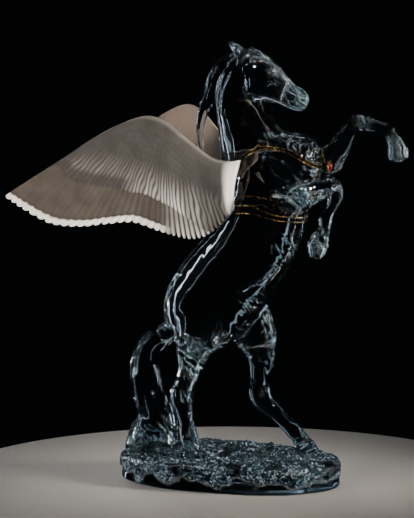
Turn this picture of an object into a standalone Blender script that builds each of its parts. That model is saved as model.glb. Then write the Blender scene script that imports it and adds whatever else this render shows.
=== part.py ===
"""A rearing winged horse in clear cast glass, with satin glass wings held on by a gilt harness.

The horse, with its mane and tail, is one casting. It stands in shallow sockets in a rough oval
base. Metres, +Z up. The horse faces +X, its left side is +Y, and the origin is the middle of
the base's underside.
"""
import math

import bmesh
import bpy
import numpy as np
from mathutils import Matrix, Vector
from mathutils.bvhtree import BVHTree

# The base, an oval slab with a rough top
BASE_LENGTH = 0.312
BASE_WIDTH = 0.190
BASE_HEIGHT = 0.038
BASE_ROUGHNESS = 0.0016
BASE_CLEAR_BAND = 0.014
BASE_SECTORS = 28

# The horse. Its stations below are millimetres on a horse 562 mm tall, above the base's top.
HORSE_HEIGHT = 0.562
STATION_HEIGHT = 562.0
RING_SIDES = 18
RINGS_PER_STATION = 4
HORSE_VOXEL = 0.0030
BLEND_PASSES = 5
HORSE_TRIANGLES = 3800

# The wings, whose outlines are millimetres on a wing 295 mm from root to tip
WING_LENGTH = 0.295
OUTLINE_LENGTH = 295.0
WING_ROOT_THICKNESS = 0.020
WING_ARM_THICKNESS = 0.011
WING_EDGE_THICKNESS = 0.0026
WING_CAMBER = 0.012
FEATHERS = 22
FEATHER_NOTCH = 0.0038
FEATHER_RELIEF = 0.0009

# The harness
CORD_DIAMETER = 0.0020
CORD_SPACING = 0.0042
CORD_SIDES = 5
CORD_STEPS = 34
STRAP_STEPS = 45
CHEST_STRAP_STEPS = 12
SEAT = 0.0013
MEDALLION_RADIUS = 0.0085
MEDALLION_THICKNESS = 0.0030
STONE_RADIUS = 0.0058
STONE_HEIGHT = 0.0036
ROUND_SIDES = 16

# Between pieces that touch
GAP = 0.0003

# Each station is (x, y, z, half the thickness fore and aft, half the thickness across).
TORSO = [
    (-50, 0, 158, 42, 31),
    (-39, 0, 186, 60, 45),
    (-16, 0, 222, 64, 47),
    (9, 0, 255, 62, 49),
    (30, 0, 282, 61, 51),
    (45, 0, 312, 58, 50),
    (54, 0, 346, 57, 47),
    (62, 0, 378, 58, 43),
    (72, 0, 402, 48, 36),
]
BREAST = [
    (52, 0, 382, 40, 36),
    (76, 0, 396, 47, 38),
    (95, 0, 400, 44, 37),
    (109, 0, 402, 40, 34),
    (119, 0, 401, 28, 26),
    (126, 0, 401, 15, 16),
]
NECK = [
    (52, 0, 372, 50, 36),
    (42, 0, 402, 55, 35),
    (32, 0, 428, 48, 29),
    (20, 0, 455, 39, 22),
    (11, 0, 477, 31, 18),
    (7, 0, 500, 25, 16),
    (14, 0, 522, 22, 15),
    (30, 0, 536, 19, 13),
]
HEAD = [
    (22, 0, 530, 15, 11),
    (35, 0, 520, 31, 15),
    (51, 0, 513, 30, 16),
    (67, 0, 505, 24, 13),
    (80, 0, 498, 18, 11),
    (92, 0, 492, 17, 11.5),
    (103, 0, 487, 14.5, 11),
    (110, 0, 484, 9, 8),
]
MANE = [
    (50, 0, 546, 5, 8),
    (33, 0, 547, 8, 9),
    (15, 0, 540, 11, 9),
    (-3, 0, 530, 13, 8),
    (-16, 0, 519, 13, 8),
    (-23, 0, 505, 12, 7),
    (-29, -1, 489, 10, 7),
    (-35, -2, 474, 8, 6),
    (-40, -3, 457, 6.5, 6),
    (-42, -3, 441, 5.5, 5),
    (-41, -3, 425, 5, 4.5),
    (-38, -3, 411, 4, 3.5),
]
TAIL = [
    (-68, 0, 178, 13, 10),
    (-94, 0, 158, 15, 12),
    (-114, 0, 142, 17, 14),
    (-124, 0, 123, 19, 16),
    (-125, 0, 103, 21, 18),
    (-121, 0, 81, 21, 18),
    (-113, 0, 60, 23, 20),
    (-108, 0, 41, 29, 24),
    (-110, 0, 21, 35, 29),
    (-112, 0, 4, 39, 33),
    (-112, 0, -4, 39, 33),
]
RIGHT_FORELEG = [
    (78, -20, 362, 30, 22),
    (102, -27, 361, 23, 18),
    (122, -31, 365, 18, 15),
    (141, -32, 372, 14, 13),
    (161, -33, 378, 12, 11.5),
    (165, -33, 364, 10.5, 10),
    (159, -33, 350, 8.2, 8),
    (154, -33, 340, 8.2, 8),
    (151, -33, 332, 10.2, 9.5),
    (150, -33, 322, 8.4, 8.4),
    (145, -33, 311, 11.5, 11),
    (140, -33, 298, 14, 13.5),
    (138, -33, 283, 10, 11),
]
LEFT_FORELEG = [
    (82, 20, 376, 30, 22),
    (106, 26, 386, 27, 19),
    (128, 29, 400, 22, 16),
    (146, 30, 423, 15.5, 13.5),
    (157, 30, 442, 12.5, 11.5),
    (169, 30, 457, 12.2, 11.5),
    (183, 30, 458, 10, 9.5),
    (198, 30, 455, 8.2, 8),
    (215, 30, 449, 10, 9.5),
    (223, 30, 440, 8.6, 8.6),
    (227, 30, 431, 12, 11.5),
    (231, 30, 418, 14.5, 14),
    (232, 30, 412, 14, 13.5),
]
RIGHT_HINDLEG = [
    (-24, -18, 205, 44, 26),
    (-31, -26, 178, 40, 24),
    (-38, -31, 152, 30, 19),
    (-42, -35, 132, 20, 15),
    (-45, -37, 114, 15, 12.5),
    (-51, -38, 97, 15, 11.5),
    (-55, -39, 81, 16.5, 12),
    (-51, -40, 65, 12.5, 10.5),
    (-46, -41, 46, 10.5, 9.5),
    (-42, -41, 27, 12, 11),
    (-41, -41, 14, 11.5, 11),
    (-39, -41, 5, 16, 14.5),
    (-38, -41, -4, 17.5, 16),
]
LEFT_HINDLEG = [
    (-2, 18, 200, 46, 26),
    (15, 24, 180, 38, 24),
    (28, 30, 154, 28, 19),
    (33, 34, 128, 19, 15),
    (31, 37, 103, 15, 12.5),
    (29, 38, 78, 16, 12),
    (38, 39, 64, 13.5, 11),
    (51, 41, 53, 11.2, 10),
    (64, 41, 41, 10.5, 9.5),
    (77, 41, 30, 12, 11),
    (86, 41, 20, 11.5, 11),
    (94, 41, 8, 15.5, 14.5),
    (99, 41, -4, 18, 16),
]
EARS = {
    "right": [(28, -9, 540, 7, 6), (18, -11, 551, 6.5, 5), (7, -12, 566, 2.6, 2.4)],
    "left": [(32, 9, 541, 7, 6), (27, 11, 551, 6.5, 5), (21, 12, 563, 2.6, 2.4)],
}

# The right wing's edges from root to tip, (x, y, z), z above the base's top
LEADING_EDGE = [
    (31, -40, 409),
    (13, -42, 406),
    (-6, -46, 411),
    (-24, -51, 423),
    (-45, -58, 441),
    (-67, -66, 460),
    (-93, -75, 467),
    (-124, -88, 456),
    (-158, -104, 436),
    (-192, -126, 410),
    (-226, -150, 388),
    (-255, -174, 369),
]
TRAILING_EDGE = [
    (24, -42, 342),
    (12, -46, 326),
    (-6, -52, 310),
    (-27, -58, 301),
    (-50, -65, 304),
    (-75, -74, 312),
    (-106, -86, 323),
    (-139, -100, 321),
    (-173, -117, 318),
    (-206, -136, 323),
    (-236, -156, 343),
    (-256, -174, 362),
]
# How thick the wing is from its front edge (0) to its feather tips (1), as a share of the arm
WING_SECTION = [(0.0, 0.25), (0.04, 0.70), (0.12, 1.0), (0.30, 0.85), (0.60, 0.45), (1.0, 0.0)]
# How far the root swells towards its own thickness, from the root (0) to the tip (1)
ROOT_SWELL = [(0.0, 0.25), (0.05, 1.0), (0.08, 1.0), (0.18, 0.0)]
# How thick the arm stays out to the tip
ARM_TAPER = [(0.0, 1.0), (0.55, 0.85), (1.0, 0.30)]
WING_ROWS = (0.0, 0.04, 0.12, 0.28, 0.47, 0.50, 0.64, 0.82, 1.0)
COVERTS_END = 0.48

# Guides for the harness on the right side, (x, y, z), drawn in onto the body
BREAST_STRAP = [
    (26, -36, 408),
    (40, -40, 419),
    (57, -42, 428),
    (75, -41, 431),
    (94, -38, 427),
    (112, -30, 414),
    (126, -18, 404),
    (136, -6, 400),
]
GIRTH_CORDS = {
    "front_girth_cord": [
        (22, -40, 347),
        (40, -50, 349),
        (56, -52, 347),
        (68, -50, 342),
        (84, -42, 336),
        (100, -24, 333),
    ],
    "rear_girth_cord": [
        (14, -40, 334),
        (34, -50, 338),
        (52, -52, 338),
        (66, -50, 335),
        (82, -42, 330),
        (98, -24, 327),
    ],
}
CHEST_STRAP = [
    (128, 0, 389),
    (124, 0, 374),
    (120, 0, 358),
    (116, 0, 346),
    (114, 0, 338),
]
STRAP_PROFILE = [(-1.0, 0.0), (-1.0, 0.7), (-0.65, 1.0), (0.0, 0.4), (0.65, 1.0), (1.0, 0.7), (1.0, 0.0)]


def remove_startup_objects():
    for obj in list(bpy.data.objects):
        bpy.data.objects.remove(obj)


def material(name, colour, roughness, metallic=0.0, transmission=0.0):
    """A Principled material."""
    mat = bpy.data.materials.new(name)
    mat.use_nodes = True
    shader = mat.node_tree.nodes["Principled BSDF"]
    shader.inputs["Base Color"].default_value = (*colour, 1.0)
    shader.inputs["Roughness"].default_value = roughness
    shader.inputs["Metallic"].default_value = metallic
    shader.inputs["Transmission Weight"].default_value = transmission
    return mat


def new_object(name, points, faces, mat, smooth=True):
    mesh = bpy.data.meshes.new(name)
    mesh.from_pydata([tuple(p) for p in points], [], [tuple(f) for f in faces])
    bm = bmesh.new()
    bm.from_mesh(mesh)
    bmesh.ops.recalc_face_normals(bm, faces=bm.faces)
    bm.to_mesh(mesh)
    bm.free()
    obj = bpy.data.objects.new(name, mesh)
    bpy.context.collection.objects.link(obj)
    obj.data.materials.append(mat)
    if smooth:
        mesh.shade_smooth()
        mesh.set_sharp_from_angle(angle=math.radians(40))
    return obj


def in_place(rows):
    """Stations in metres, scaled to the horse and lifted onto the base."""
    rows = np.array(rows, float) * (HORSE_HEIGHT / STATION_HEIGHT)
    rows[:, 2] += BASE_HEIGHT
    return rows


def curve_through(rows, per_span):
    """A Catmull-Rom curve through the rows, with per_span steps between two of them."""
    ends = np.vstack([2 * rows[0] - rows[1], rows, 2 * rows[-1] - rows[-2]])
    t = np.linspace(0, 1, per_span, endpoint=False)[:, None]
    spans = []
    for a, b, c, d in zip(ends, ends[1:], ends[2:], ends[3:]):
        spans.append(0.5 * (2 * b + (c - a) * t + (2 * a - 5 * b + 4 * c - d) * t**2
                            + (3 * b - a - 3 * c + d) * t**3))
    return np.vstack([*spans, rows[-1:]])


def unit(rows):
    return rows / np.linalg.norm(rows, axis=-1, keepdims=True)


def tube_faces(rings, sides):
    """Quads between rings, and a fan at each end to the two points that follow the rings."""
    faces = []
    for ring in range(rings - 1):
        for side in range(sides):
            after = (side + 1) % sides
            faces.append((ring * sides + side, ring * sides + after,
                          (ring + 1) * sides + after, (ring + 1) * sides + side))
    first, last, base = rings * sides, rings * sides + 1, (rings - 1) * sides
    for side in range(sides):
        after = (side + 1) % sides
        faces.append((first, after, side))
        faces.append((last, base + side, base + after))
    return faces


def limb(stations):
    """An oval tube through the stations, with rounded ends: (points, faces)."""
    rows = curve_through(in_place(stations), RINGS_PER_STATION)
    centres, radii = rows[:, :3], np.maximum(rows[:, 3:], 0.0005)
    along = unit(np.gradient(centres, axis=0))
    fore = unit(np.cross(along, [0.0, 1.0, 0.0]))
    across = np.cross(along, fore)
    turn = np.linspace(0, 2 * np.pi, RING_SIDES, endpoint=False)
    rings = (centres[:, None]
             + fore[:, None] * (radii[:, :1] * np.cos(turn))[..., None]
             + across[:, None] * (radii[:, 1:] * np.sin(turn))[..., None])
    bulge = radii.min(axis=1, keepdims=True) * 0.35
    ends = np.stack([centres[0] - along[0] * bulge[0], centres[-1] + along[-1] * bulge[-1]])
    points = np.vstack([rings.reshape(-1, 3), ends])
    return points, tube_faces(len(rows), RING_SIDES)


def joined(shells):
    """Several (points, faces) as one."""
    points, faces, offset = [], [], 0
    for shell_points, shell_faces in shells:
        points.append(shell_points)
        faces += [tuple(i + offset for i in face) for face in shell_faces]
        offset += len(shell_points)
    return np.vstack(points), faces


def triangle_count(obj):
    graph = bpy.context.evaluated_depsgraph_get()
    mesh = obj.evaluated_get(graph).to_mesh()
    mesh.calc_loop_triangles()
    return len(mesh.loop_triangles)


def make_horse(mat):
    """The casting: overlapping tubes for body and limbs, melted into one skin and thinned out."""
    parts = [TORSO, BREAST, NECK, HEAD, MANE, TAIL, RIGHT_FORELEG, LEFT_FORELEG,
             RIGHT_HINDLEG, LEFT_HINDLEG, EARS["right"], EARS["left"]]
    horse = new_object("horse", *joined([limb(part) for part in parts]), mat)
    melt = horse.modifiers.new("melt", "REMESH")
    melt.mode = "VOXEL"
    melt.voxel_size = HORSE_VOXEL
    blend = horse.modifiers.new("blend", "SMOOTH")
    blend.iterations = BLEND_PASSES
    thin = horse.modifiers.new("thin", "DECIMATE")
    thin.ratio = min(1.0, HORSE_TRIANGLES / triangle_count(horse))
    return horse


def cutter_of(obj, name):
    """A copy of obj grown by the gap, that cuts its neighbours."""
    cutter = obj.copy()
    cutter.name = name
    bpy.context.collection.objects.link(cutter)
    grow = cutter.modifiers.new("grow", "DISPLACE")
    grow.strength = GAP
    grow.mid_level = 0.0
    cutter.hide_render = True
    cutter.display_type = "WIRE"
    return cutter


def cut(obj, cutter):
    boolean = obj.modifiers.new("clear_of_" + cutter.name, "BOOLEAN")
    boolean.operation = "DIFFERENCE"
    boolean.object = cutter


def oval(turn, length, width):
    """A rounded oval outline with a slightly uneven edge."""
    wander = 1 + 0.014 * np.sin(3 * turn + 0.6) + 0.009 * np.sin(7 * turn + 2.0)
    round_x = np.sign(np.cos(turn)) * np.abs(np.cos(turn)) ** 0.86
    round_y = np.sign(np.sin(turn)) * np.abs(np.sin(turn)) ** 0.92
    return np.stack([length / 2 * round_x * wander, width / 2 * round_y * wander], axis=-1)


def make_base(mat):
    """The oval slab: flat below, a clear lower edge, and a rough domed top."""
    turn = np.linspace(0, 2 * np.pi, BASE_SECTORS, endpoint=False)
    outline = oval(turn, BASE_LENGTH, BASE_WIDTH)
    # Each ring is (share of the outline, height, share of the roughness), from the underside up.
    rings = [
        (0.955, 0.0, 0.0),
        (0.985, 0.004, 0.0),
        (0.985, BASE_CLEAR_BAND, 0.0),
        (1.0, BASE_CLEAR_BAND + 0.006, 1.0),
        (0.985, BASE_HEIGHT - 0.009, 1.0),
        (0.93, BASE_HEIGHT - 0.002, 1.0),
        (0.80, BASE_HEIGHT, 1.0),
        (0.60, BASE_HEIGHT + 0.001, 1.0),
        (0.40, BASE_HEIGHT + 0.001, 1.0),
        (0.20, BASE_HEIGHT + 0.001, 1.0),
    ]
    points = []
    for share, height, rough in rings:
        x, y = (outline * share).T
        bumps = (np.sin(130 * x + 1.0) * np.cos(110 * y) + 0.6 * np.sin(90 * y - 120 * x)) * rough
        z = height + BASE_ROUGHNESS * bumps * min(1.0, height / BASE_HEIGHT)
        points.append(np.column_stack([x, y, z]))
    points.append([[0, 0, 0], [0, 0, BASE_HEIGHT]])
    faces = tube_faces(len(rings), BASE_SECTORS)
    return new_object("base", np.vstack(points), faces, mat)


def read_off(pairs, at):
    """The curve given by pairs of (place, value), at some places."""
    places, values = zip(*pairs)
    return np.interp(at, places, values)


def along_edge(edge, s):
    """Points on a wing's edge, s from root to tip."""
    points = curve_through(np.array(edge, float), 8)
    place = s * (len(points) - 1)
    return np.column_stack([np.interp(place, np.arange(len(points)), points[:, i]) for i in range(3)])


def wing_surfaces(s, t, crest):
    """The outer and inner skins of the right wing. crest is 1 on a feather's shaft, 0 between two."""
    root = np.array(LEADING_EDGE[0], float)
    front = along_edge(LEADING_EDGE, s)[:, None]
    back = along_edge(TRAILING_EDGE, s)[:, None]
    notch = FEATHER_NOTCH * (1 - crest) / (WING_LENGTH * 0.3)
    reach = t[None] - notch[:, None] * np.clip((t - 0.75) * 4, 0, 1)[None]
    middle = (front + (back - front) * reach[..., None] - root) * (WING_LENGTH / OUTLINE_LENGTH)
    middle += root * (HORSE_HEIGHT / STATION_HEIGHT) + [0, 0, BASE_HEIGHT]
    middle[..., 1] -= WING_CAMBER * np.sin(np.pi * t)[None] * (1 - 0.7 * s)[:, None]
    arm = WING_ARM_THICKNESS * read_off(ARM_TAPER, s)
    arm += (WING_ROOT_THICKNESS - arm) * read_off(ROOT_SWELL, s)
    thick = WING_EDGE_THICKNESS + (arm[:, None] - WING_EDGE_THICKNESS) * read_off(WING_SECTION, t)[None]
    root_share = read_off(ROOT_SWELL, s)[:, None]
    thick = np.maximum(thick, WING_ROOT_THICKNESS * 0.7 * root_share)
    relief = FEATHER_RELIEF * (2 * crest[:, None] - 1) * np.clip((t - 0.25) * 4, 0, 1)[None]
    step = FEATHER_RELIEF * (t < COVERTS_END)[None]
    outer, inner = middle.copy(), middle.copy()
    outer[..., 1] -= thick / 2 + relief + step
    inner[..., 1] += thick / 2 + relief
    return outer, inner


def wing_faces(columns, rows):
    """Quads over both skins and round the four edges between them."""
    outer = lambda i, j: i * rows + j
    inner = lambda i, j: columns * rows + i * rows + j
    faces = []
    for i in range(columns - 1):
        for j in range(rows - 1):
            faces.append((outer(i, j), outer(i + 1, j), outer(i + 1, j + 1), outer(i, j + 1)))
            faces.append((inner(i, j), inner(i, j + 1), inner(i + 1, j + 1), inner(i + 1, j)))
        for j in (0, rows - 1):
            faces.append((outer(i, j), inner(i, j), inner(i + 1, j), outer(i + 1, j)))
    for j in range(rows - 1):
        for i in (0, columns - 1):
            faces.append((outer(i, j), outer(i, j + 1), inner(i, j + 1), inner(i, j)))
    return faces


def make_wing(name, side, mat):
    """A wing: thin, thick along its front edge, with ridged feathers. side is -1 right, 1 left."""
    columns = 2 * FEATHERS + 1
    crest = (np.arange(columns) % 2).astype(float)
    outer, inner = wing_surfaces(np.linspace(0, 1, columns), np.array(WING_ROWS), crest)
    points = np.vstack([outer.reshape(-1, 3), inner.reshape(-1, 3)])
    points[:, 1] *= -side
    return new_object(name, points, wing_faces(columns, len(WING_ROWS)), mat)


def mirrored(right):
    """A guide from the right side carried on round the front to the left."""
    right = np.array(right, float)
    return np.vstack([right, right[::-1] * [1, -1, 1]])


def surface_of(obj):
    return BVHTree.FromObject(obj, bpy.context.evaluated_depsgraph_get())


def ahead_of_wings(line):
    """The part of a line on the body that lies in front of the wing roots."""
    top, bottom = in_place([(*LEADING_EDGE[0], 0, 0), (*TRAILING_EDGE[0], 0, 0)])
    root = np.interp(line[:, 2], [bottom[2], top[2]], [bottom[0], top[0]])
    return line[line[:, 0] > root + CORD_SPACING]


def drawn_in(guide, skin, steps):
    """The guide brought onto the body's skin: (points, outward normals), evenly spaced."""
    line = curve_through(in_place(np.pad(guide, ((0, 0), (0, 2))))[:, :3], 16)
    for _ in range(12):
        hits = [skin.find_nearest(Vector(p)) for p in line]
        line = np.array([hit[0] for hit in hits])
        line[1:-1] = (line[:-2] + 2 * line[1:-1] + line[2:]) / 4
    line = ahead_of_wings(line)
    walked = np.concatenate([[0], np.cumsum(np.linalg.norm(np.diff(line, axis=0), axis=1))])
    even = np.linspace(0, walked[-1], steps)
    line = np.column_stack([np.interp(even, walked, line[:, i]) for i in range(3)])
    hits = [skin.find_nearest(Vector(p)) for p in line]
    points = np.array([hit[0] for hit in hits])
    normals = np.array([hit[1] for hit in hits])
    for _ in range(3):
        normals[1:-1] = (normals[:-2] + 2 * normals[1:-1] + normals[2:]) / 4
    return points, unit(normals)


def laid(name, skin, points, normals, profile, mat):
    """A bar of one profile, given as (across, height over the skin), laid along points on the skin.

    Returns the bar's own points.
    """
    along = unit(np.gradient(points, axis=0))
    across = unit(np.cross(along, normals))
    rings = np.empty((len(points), len(profile), 3))
    for i, (point, normal, sideways) in enumerate(zip(points, normals, across)):
        for j, (width, height) in enumerate(profile):
            rings[i, j] = np.array(skin.find_nearest(Vector(point + sideways * width))[0]) + normal * height
    ends = rings[[0, -1]].mean(axis=1)
    points = np.vstack([rings.reshape(-1, 3), ends])
    new_object(name, points, tube_faces(len(rings), len(profile)), mat)
    return points


def round_profile(diameter, sides):
    turn = np.linspace(0, 2 * np.pi, sides, endpoint=False)
    radius = diameter / 2
    return np.column_stack([radius * np.cos(turn), SEAT + radius + radius * np.sin(turn)])


def strap_profile():
    """A flat strap with a bead along each edge."""
    half = (CORD_SPACING + CORD_DIAMETER) / 2
    return [(across * half, SEAT + out * CORD_DIAMETER) for across, out in STRAP_PROFILE]


def make_harness(skin, mat):
    """The breast strap, the strap between the forelegs and the pair of girth cords.

    Returns the middle of the breast strap, its outward normal and the strap's own points.
    """
    strap = drawn_in(mirrored(BREAST_STRAP), skin, STRAP_STEPS)
    strap_points = laid("breast_strap", skin, *strap, strap_profile(), mat)
    chest = drawn_in(CHEST_STRAP, skin, CHEST_STRAP_STEPS)
    laid("chest_strap", skin, *chest, strap_profile(), mat)
    for name, guide in GIRTH_CORDS.items():
        cord = drawn_in(mirrored(guide), skin, CORD_STEPS)
        laid(name, skin, *cord, round_profile(CORD_DIAMETER, CORD_SIDES), mat)
    line, normals = strap
    return line[STRAP_STEPS // 2], normals[STRAP_STEPS // 2], strap_points


def make_medallion(middle, normal, strap_points, gilt, ruby):
    """A gilt disc on the middle of the breast strap with a domed red stone on it."""
    under = strap_points[np.linalg.norm(strap_points - middle, axis=1) < MEDALLION_RADIUS * 1.2]
    height = ((under - middle) @ normal).max() + GAP
    place, normal = Vector(middle), Vector(normal)
    turn = normal.to_track_quat("Z", "Y").to_matrix().to_4x4()
    seat = place + normal * height
    disc = turned("medallion", [(MEDALLION_RADIUS, 0.0), (MEDALLION_RADIUS, MEDALLION_THICKNESS * 0.7),
                                (MEDALLION_RADIUS * 0.85, MEDALLION_THICKNESS)], gilt)
    disc.matrix_world = Matrix.Translation(seat) @ turn
    arc = np.linspace(0, np.pi / 2, 5)[:-1]
    dome = [(STONE_RADIUS * math.cos(a), STONE_HEIGHT * math.sin(a)) for a in arc]
    stone = turned("red_stone", dome, ruby, STONE_HEIGHT)
    stone.matrix_world = Matrix.Translation(seat + normal * (MEDALLION_THICKNESS + GAP)) @ turn


def turned(name, profile, mat, top=None):
    """A round piece from (radius, height) points, bottom first."""
    turn = np.linspace(0, 2 * np.pi, ROUND_SIDES, endpoint=False)
    rings = [np.column_stack([r * np.cos(turn), r * np.sin(turn), np.full(ROUND_SIDES, h)])
             for r, h in profile]
    ends = [[0, 0, profile[0][1]], [0, 0, profile[-1][1] if top is None else top]]
    return new_object(name, np.vstack([*rings, ends]), tube_faces(len(profile), ROUND_SIDES), mat)


def build():
    remove_startup_objects()
    clear = material("clear_glass", (0.93, 0.97, 0.99), 0.02, transmission=1.0)
    rough = material("rough_glass", (0.72, 0.82, 0.88), 0.35, transmission=0.6)
    satin = material("satin_glass", (0.62, 0.59, 0.56), 0.45, transmission=0.2)
    gilt = material("gilt_metal", (0.72, 0.50, 0.22), 0.25, metallic=1.0)
    ruby = material("red_glass", (0.45, 0.03, 0.02), 0.05, transmission=0.5)
    horse = make_horse(clear)
    skin = surface_of(horse)
    horse_cutter = cutter_of(horse, "horse_cutter")
    cut(make_base(rough), horse_cutter)
    for name, side in (("right_wing", -1), ("left_wing", 1)):
        cut(make_wing(name, side, satin), horse_cutter)
    make_medallion(*make_harness(skin, gilt), gilt, ruby)


build()
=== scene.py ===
"""A rearing winged horse in clear cast glass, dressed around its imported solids.

The horse, its mane and its tail are one casting of clear glass. The wings are satin etched glass,
the harness is gilt with a red glass stone, and the base is a slab of glass with a chipped,
ice-like top. Places in the tables are millimetres, with z counted from the top of the base.
"""
import math
from types import SimpleNamespace

import bmesh
import bpy
import numpy as np
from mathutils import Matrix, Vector
from mathutils.bvhtree import BVHTree


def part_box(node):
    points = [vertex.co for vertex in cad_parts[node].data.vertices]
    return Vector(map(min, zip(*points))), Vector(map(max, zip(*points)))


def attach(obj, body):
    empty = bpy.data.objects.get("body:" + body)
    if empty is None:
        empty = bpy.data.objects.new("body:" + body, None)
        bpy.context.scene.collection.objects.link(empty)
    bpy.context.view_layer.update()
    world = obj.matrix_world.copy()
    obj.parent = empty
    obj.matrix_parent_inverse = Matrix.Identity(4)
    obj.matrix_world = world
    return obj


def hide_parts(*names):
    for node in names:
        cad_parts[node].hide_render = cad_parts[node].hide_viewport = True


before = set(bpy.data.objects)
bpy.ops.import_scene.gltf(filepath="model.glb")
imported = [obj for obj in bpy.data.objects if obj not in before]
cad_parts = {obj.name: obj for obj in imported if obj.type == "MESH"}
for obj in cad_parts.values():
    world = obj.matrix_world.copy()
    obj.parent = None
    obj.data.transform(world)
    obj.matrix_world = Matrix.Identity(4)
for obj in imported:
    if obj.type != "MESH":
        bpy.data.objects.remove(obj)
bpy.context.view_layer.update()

MM = 0.001
BASE_TOP = 38.0

# The camera, read from the photograph's perspective
CAMERA_AZIMUTH = 22.0
CAMERA_ELEVATION = 8.5
CAMERA_DISTANCE = 6.0
CAMERA_TARGET = (-0.03318, 0.0, 0.30369)
CAMERA_LENS = 306.6
SENSOR_HEIGHT = 36.0

# The casting
HORSE_VOXEL = 2.1
HORSE_SOFTENING = 10
# The head, whose lattice is twice as fine, lies in front of this corner and over it
HEAD_CORNER = (14, 0, 474)
TUBE_SIDES = 32
TUBE_RINGS = 8

# Each station is (x, y, z, half the thickness fore and aft, half the thickness across)
TORSO = [
    (-50, 0, 158, 42, 31),
    (-39, 0, 186, 60, 45),
    (-16, 0, 222, 64, 47),
    (9, 0, 255, 62, 49),
    (30, 0, 282, 61, 51),
    (45, 0, 312, 58, 50),
    (54, 0, 346, 57, 47),
    (62, 0, 378, 58, 43),
    (72, 0, 402, 48, 36),
]
BREAST = [
    (52, 0, 382, 40, 36),
    (76, 0, 396, 47, 38),
    (95, 0, 400, 44, 37),
    (109, 0, 402, 40, 34),
    (119, 0, 401, 28, 26),
    (126, 0, 401, 15, 16),
]
NECK = [
    (52, 0, 372, 50, 36),
    (42, 0, 402, 55, 35),
    (32, 0, 428, 48, 29),
    (20, 0, 455, 39, 22),
    (11, 0, 477, 31, 18),
    (7, 0, 500, 25, 16),
    (14, 0, 522, 22, 15),
    (30, 0, 536, 19, 13),
]
HEAD = [
    (22, 0, 530, 15, 11),
    (35, 0, 520, 31, 15),
    (51, 0, 513, 30, 16),
    (67, 0, 505, 24, 13),
    (80, 0, 498, 18, 11),
    (92, 0, 492, 17, 11.5),
    (103, 0, 487, 14.5, 11),
    (110, 0, 484, 9, 8),
]
MANE = [
    (50, 0, 546, 5, 8),
    (33, 0, 547, 8, 9),
    (15, 0, 540, 11, 9),
    (-3, 0, 530, 13, 8),
    (-16, 0, 519, 13, 8),
    (-23, 0, 505, 12, 7),
    (-29, -1, 489, 10, 7),
    (-35, -2, 474, 8, 6),
    (-40, -3, 457, 6.5, 6),
    (-42, -3, 441, 5.5, 5),
    (-41, -3, 425, 5, 4.5),
    (-38, -3, 411, 4, 3.5),
]
TAIL = [
    (-68, 0, 178, 13, 10),
    (-94, 0, 158, 15, 12),
    (-114, 0, 142, 17, 14),
    (-124, 0, 123, 19, 16),
    (-125, 0, 103, 21, 18),
    (-121, 0, 81, 21, 18),
    (-113, 0, 60, 23, 20),
    (-108, 0, 41, 29, 24),
    (-110, 0, 21, 35, 29),
    (-112, 0, 4, 39, 33),
    (-112, 0, -4, 39, 33),
]
RIGHT_FORELEG = [
    (78, -20, 362, 30, 22),
    (102, -27, 361, 23, 18),
    (122, -31, 365, 18, 15),
    (141, -32, 372, 14, 13),
    (161, -33, 378, 12, 11.5),
    (165, -33, 364, 10.5, 10),
    (159, -33, 350, 8.2, 8),
    (154, -33, 340, 8.2, 8),
    (151, -33, 332, 10.2, 9.5),
    (150, -33, 322, 8.4, 8.4),
    (145, -33, 311, 11.5, 11),
    (140, -33, 298, 14, 13.5),
    (138, -33, 283, 10, 11),
]
LEFT_FORELEG = [
    (82, 20, 376, 30, 22),
    (106, 26, 386, 27, 19),
    (128, 29, 400, 22, 16),
    (146, 30, 423, 15.5, 13.5),
    (157, 30, 442, 12.5, 11.5),
    (169, 30, 457, 12.2, 11.5),
    (183, 30, 458, 10, 9.5),
    (198, 30, 455, 8.2, 8),
    (215, 30, 449, 10, 9.5),
    (223, 30, 440, 8.6, 8.6),
    (227, 30, 431, 12, 11.5),
    (231, 30, 418, 14.5, 14),
    (232, 30, 412, 14, 13.5),
]
RIGHT_HINDLEG = [
    (-24, -18, 205, 44, 26),
    (-31, -26, 178, 40, 24),
    (-38, -31, 152, 30, 19),
    (-42, -35, 132, 20, 15),
    (-45, -37, 114, 15, 12.5),
    (-51, -38, 97, 15, 11.5),
    (-55, -39, 81, 16.5, 12),
    (-51, -40, 65, 12.5, 10.5),
    (-46, -41, 46, 10.5, 9.5),
    (-42, -41, 27, 12, 11),
    (-41, -41, 14, 11.5, 11),
    (-39, -41, 5, 16, 14.5),
    (-38, -41, -4, 17.5, 16),
]
LEFT_HINDLEG = [
    (-2, 18, 200, 46, 26),
    (15, 24, 180, 38, 24),
    (28, 30, 154, 28, 19),
    (33, 34, 128, 19, 15),
    (31, 37, 103, 15, 12.5),
    (29, 38, 78, 16, 12),
    (38, 39, 64, 13.5, 11),
    (51, 41, 53, 11.2, 10),
    (64, 41, 41, 10.5, 9.5),
    (77, 41, 30, 12, 11),
    (86, 41, 20, 11.5, 11),
    (94, 41, 8, 15.5, 14.5),
    (99, 41, -4, 18, 16),
]
RIGHT_EAR = [(32, -8, 536, 9, 7), (23, -11, 547, 9.5, 7), (14, -12, 556, 7.5, 5.5), (5, -12, 564, 2.8, 2.6)]
LEFT_EAR = [(37, 8, 536, 8, 6.5), (33, 11, 546, 6.5, 5), (29, 12, 553, 4.5, 3.5), (26, 12, 558, 2.0, 2.0)]

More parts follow.
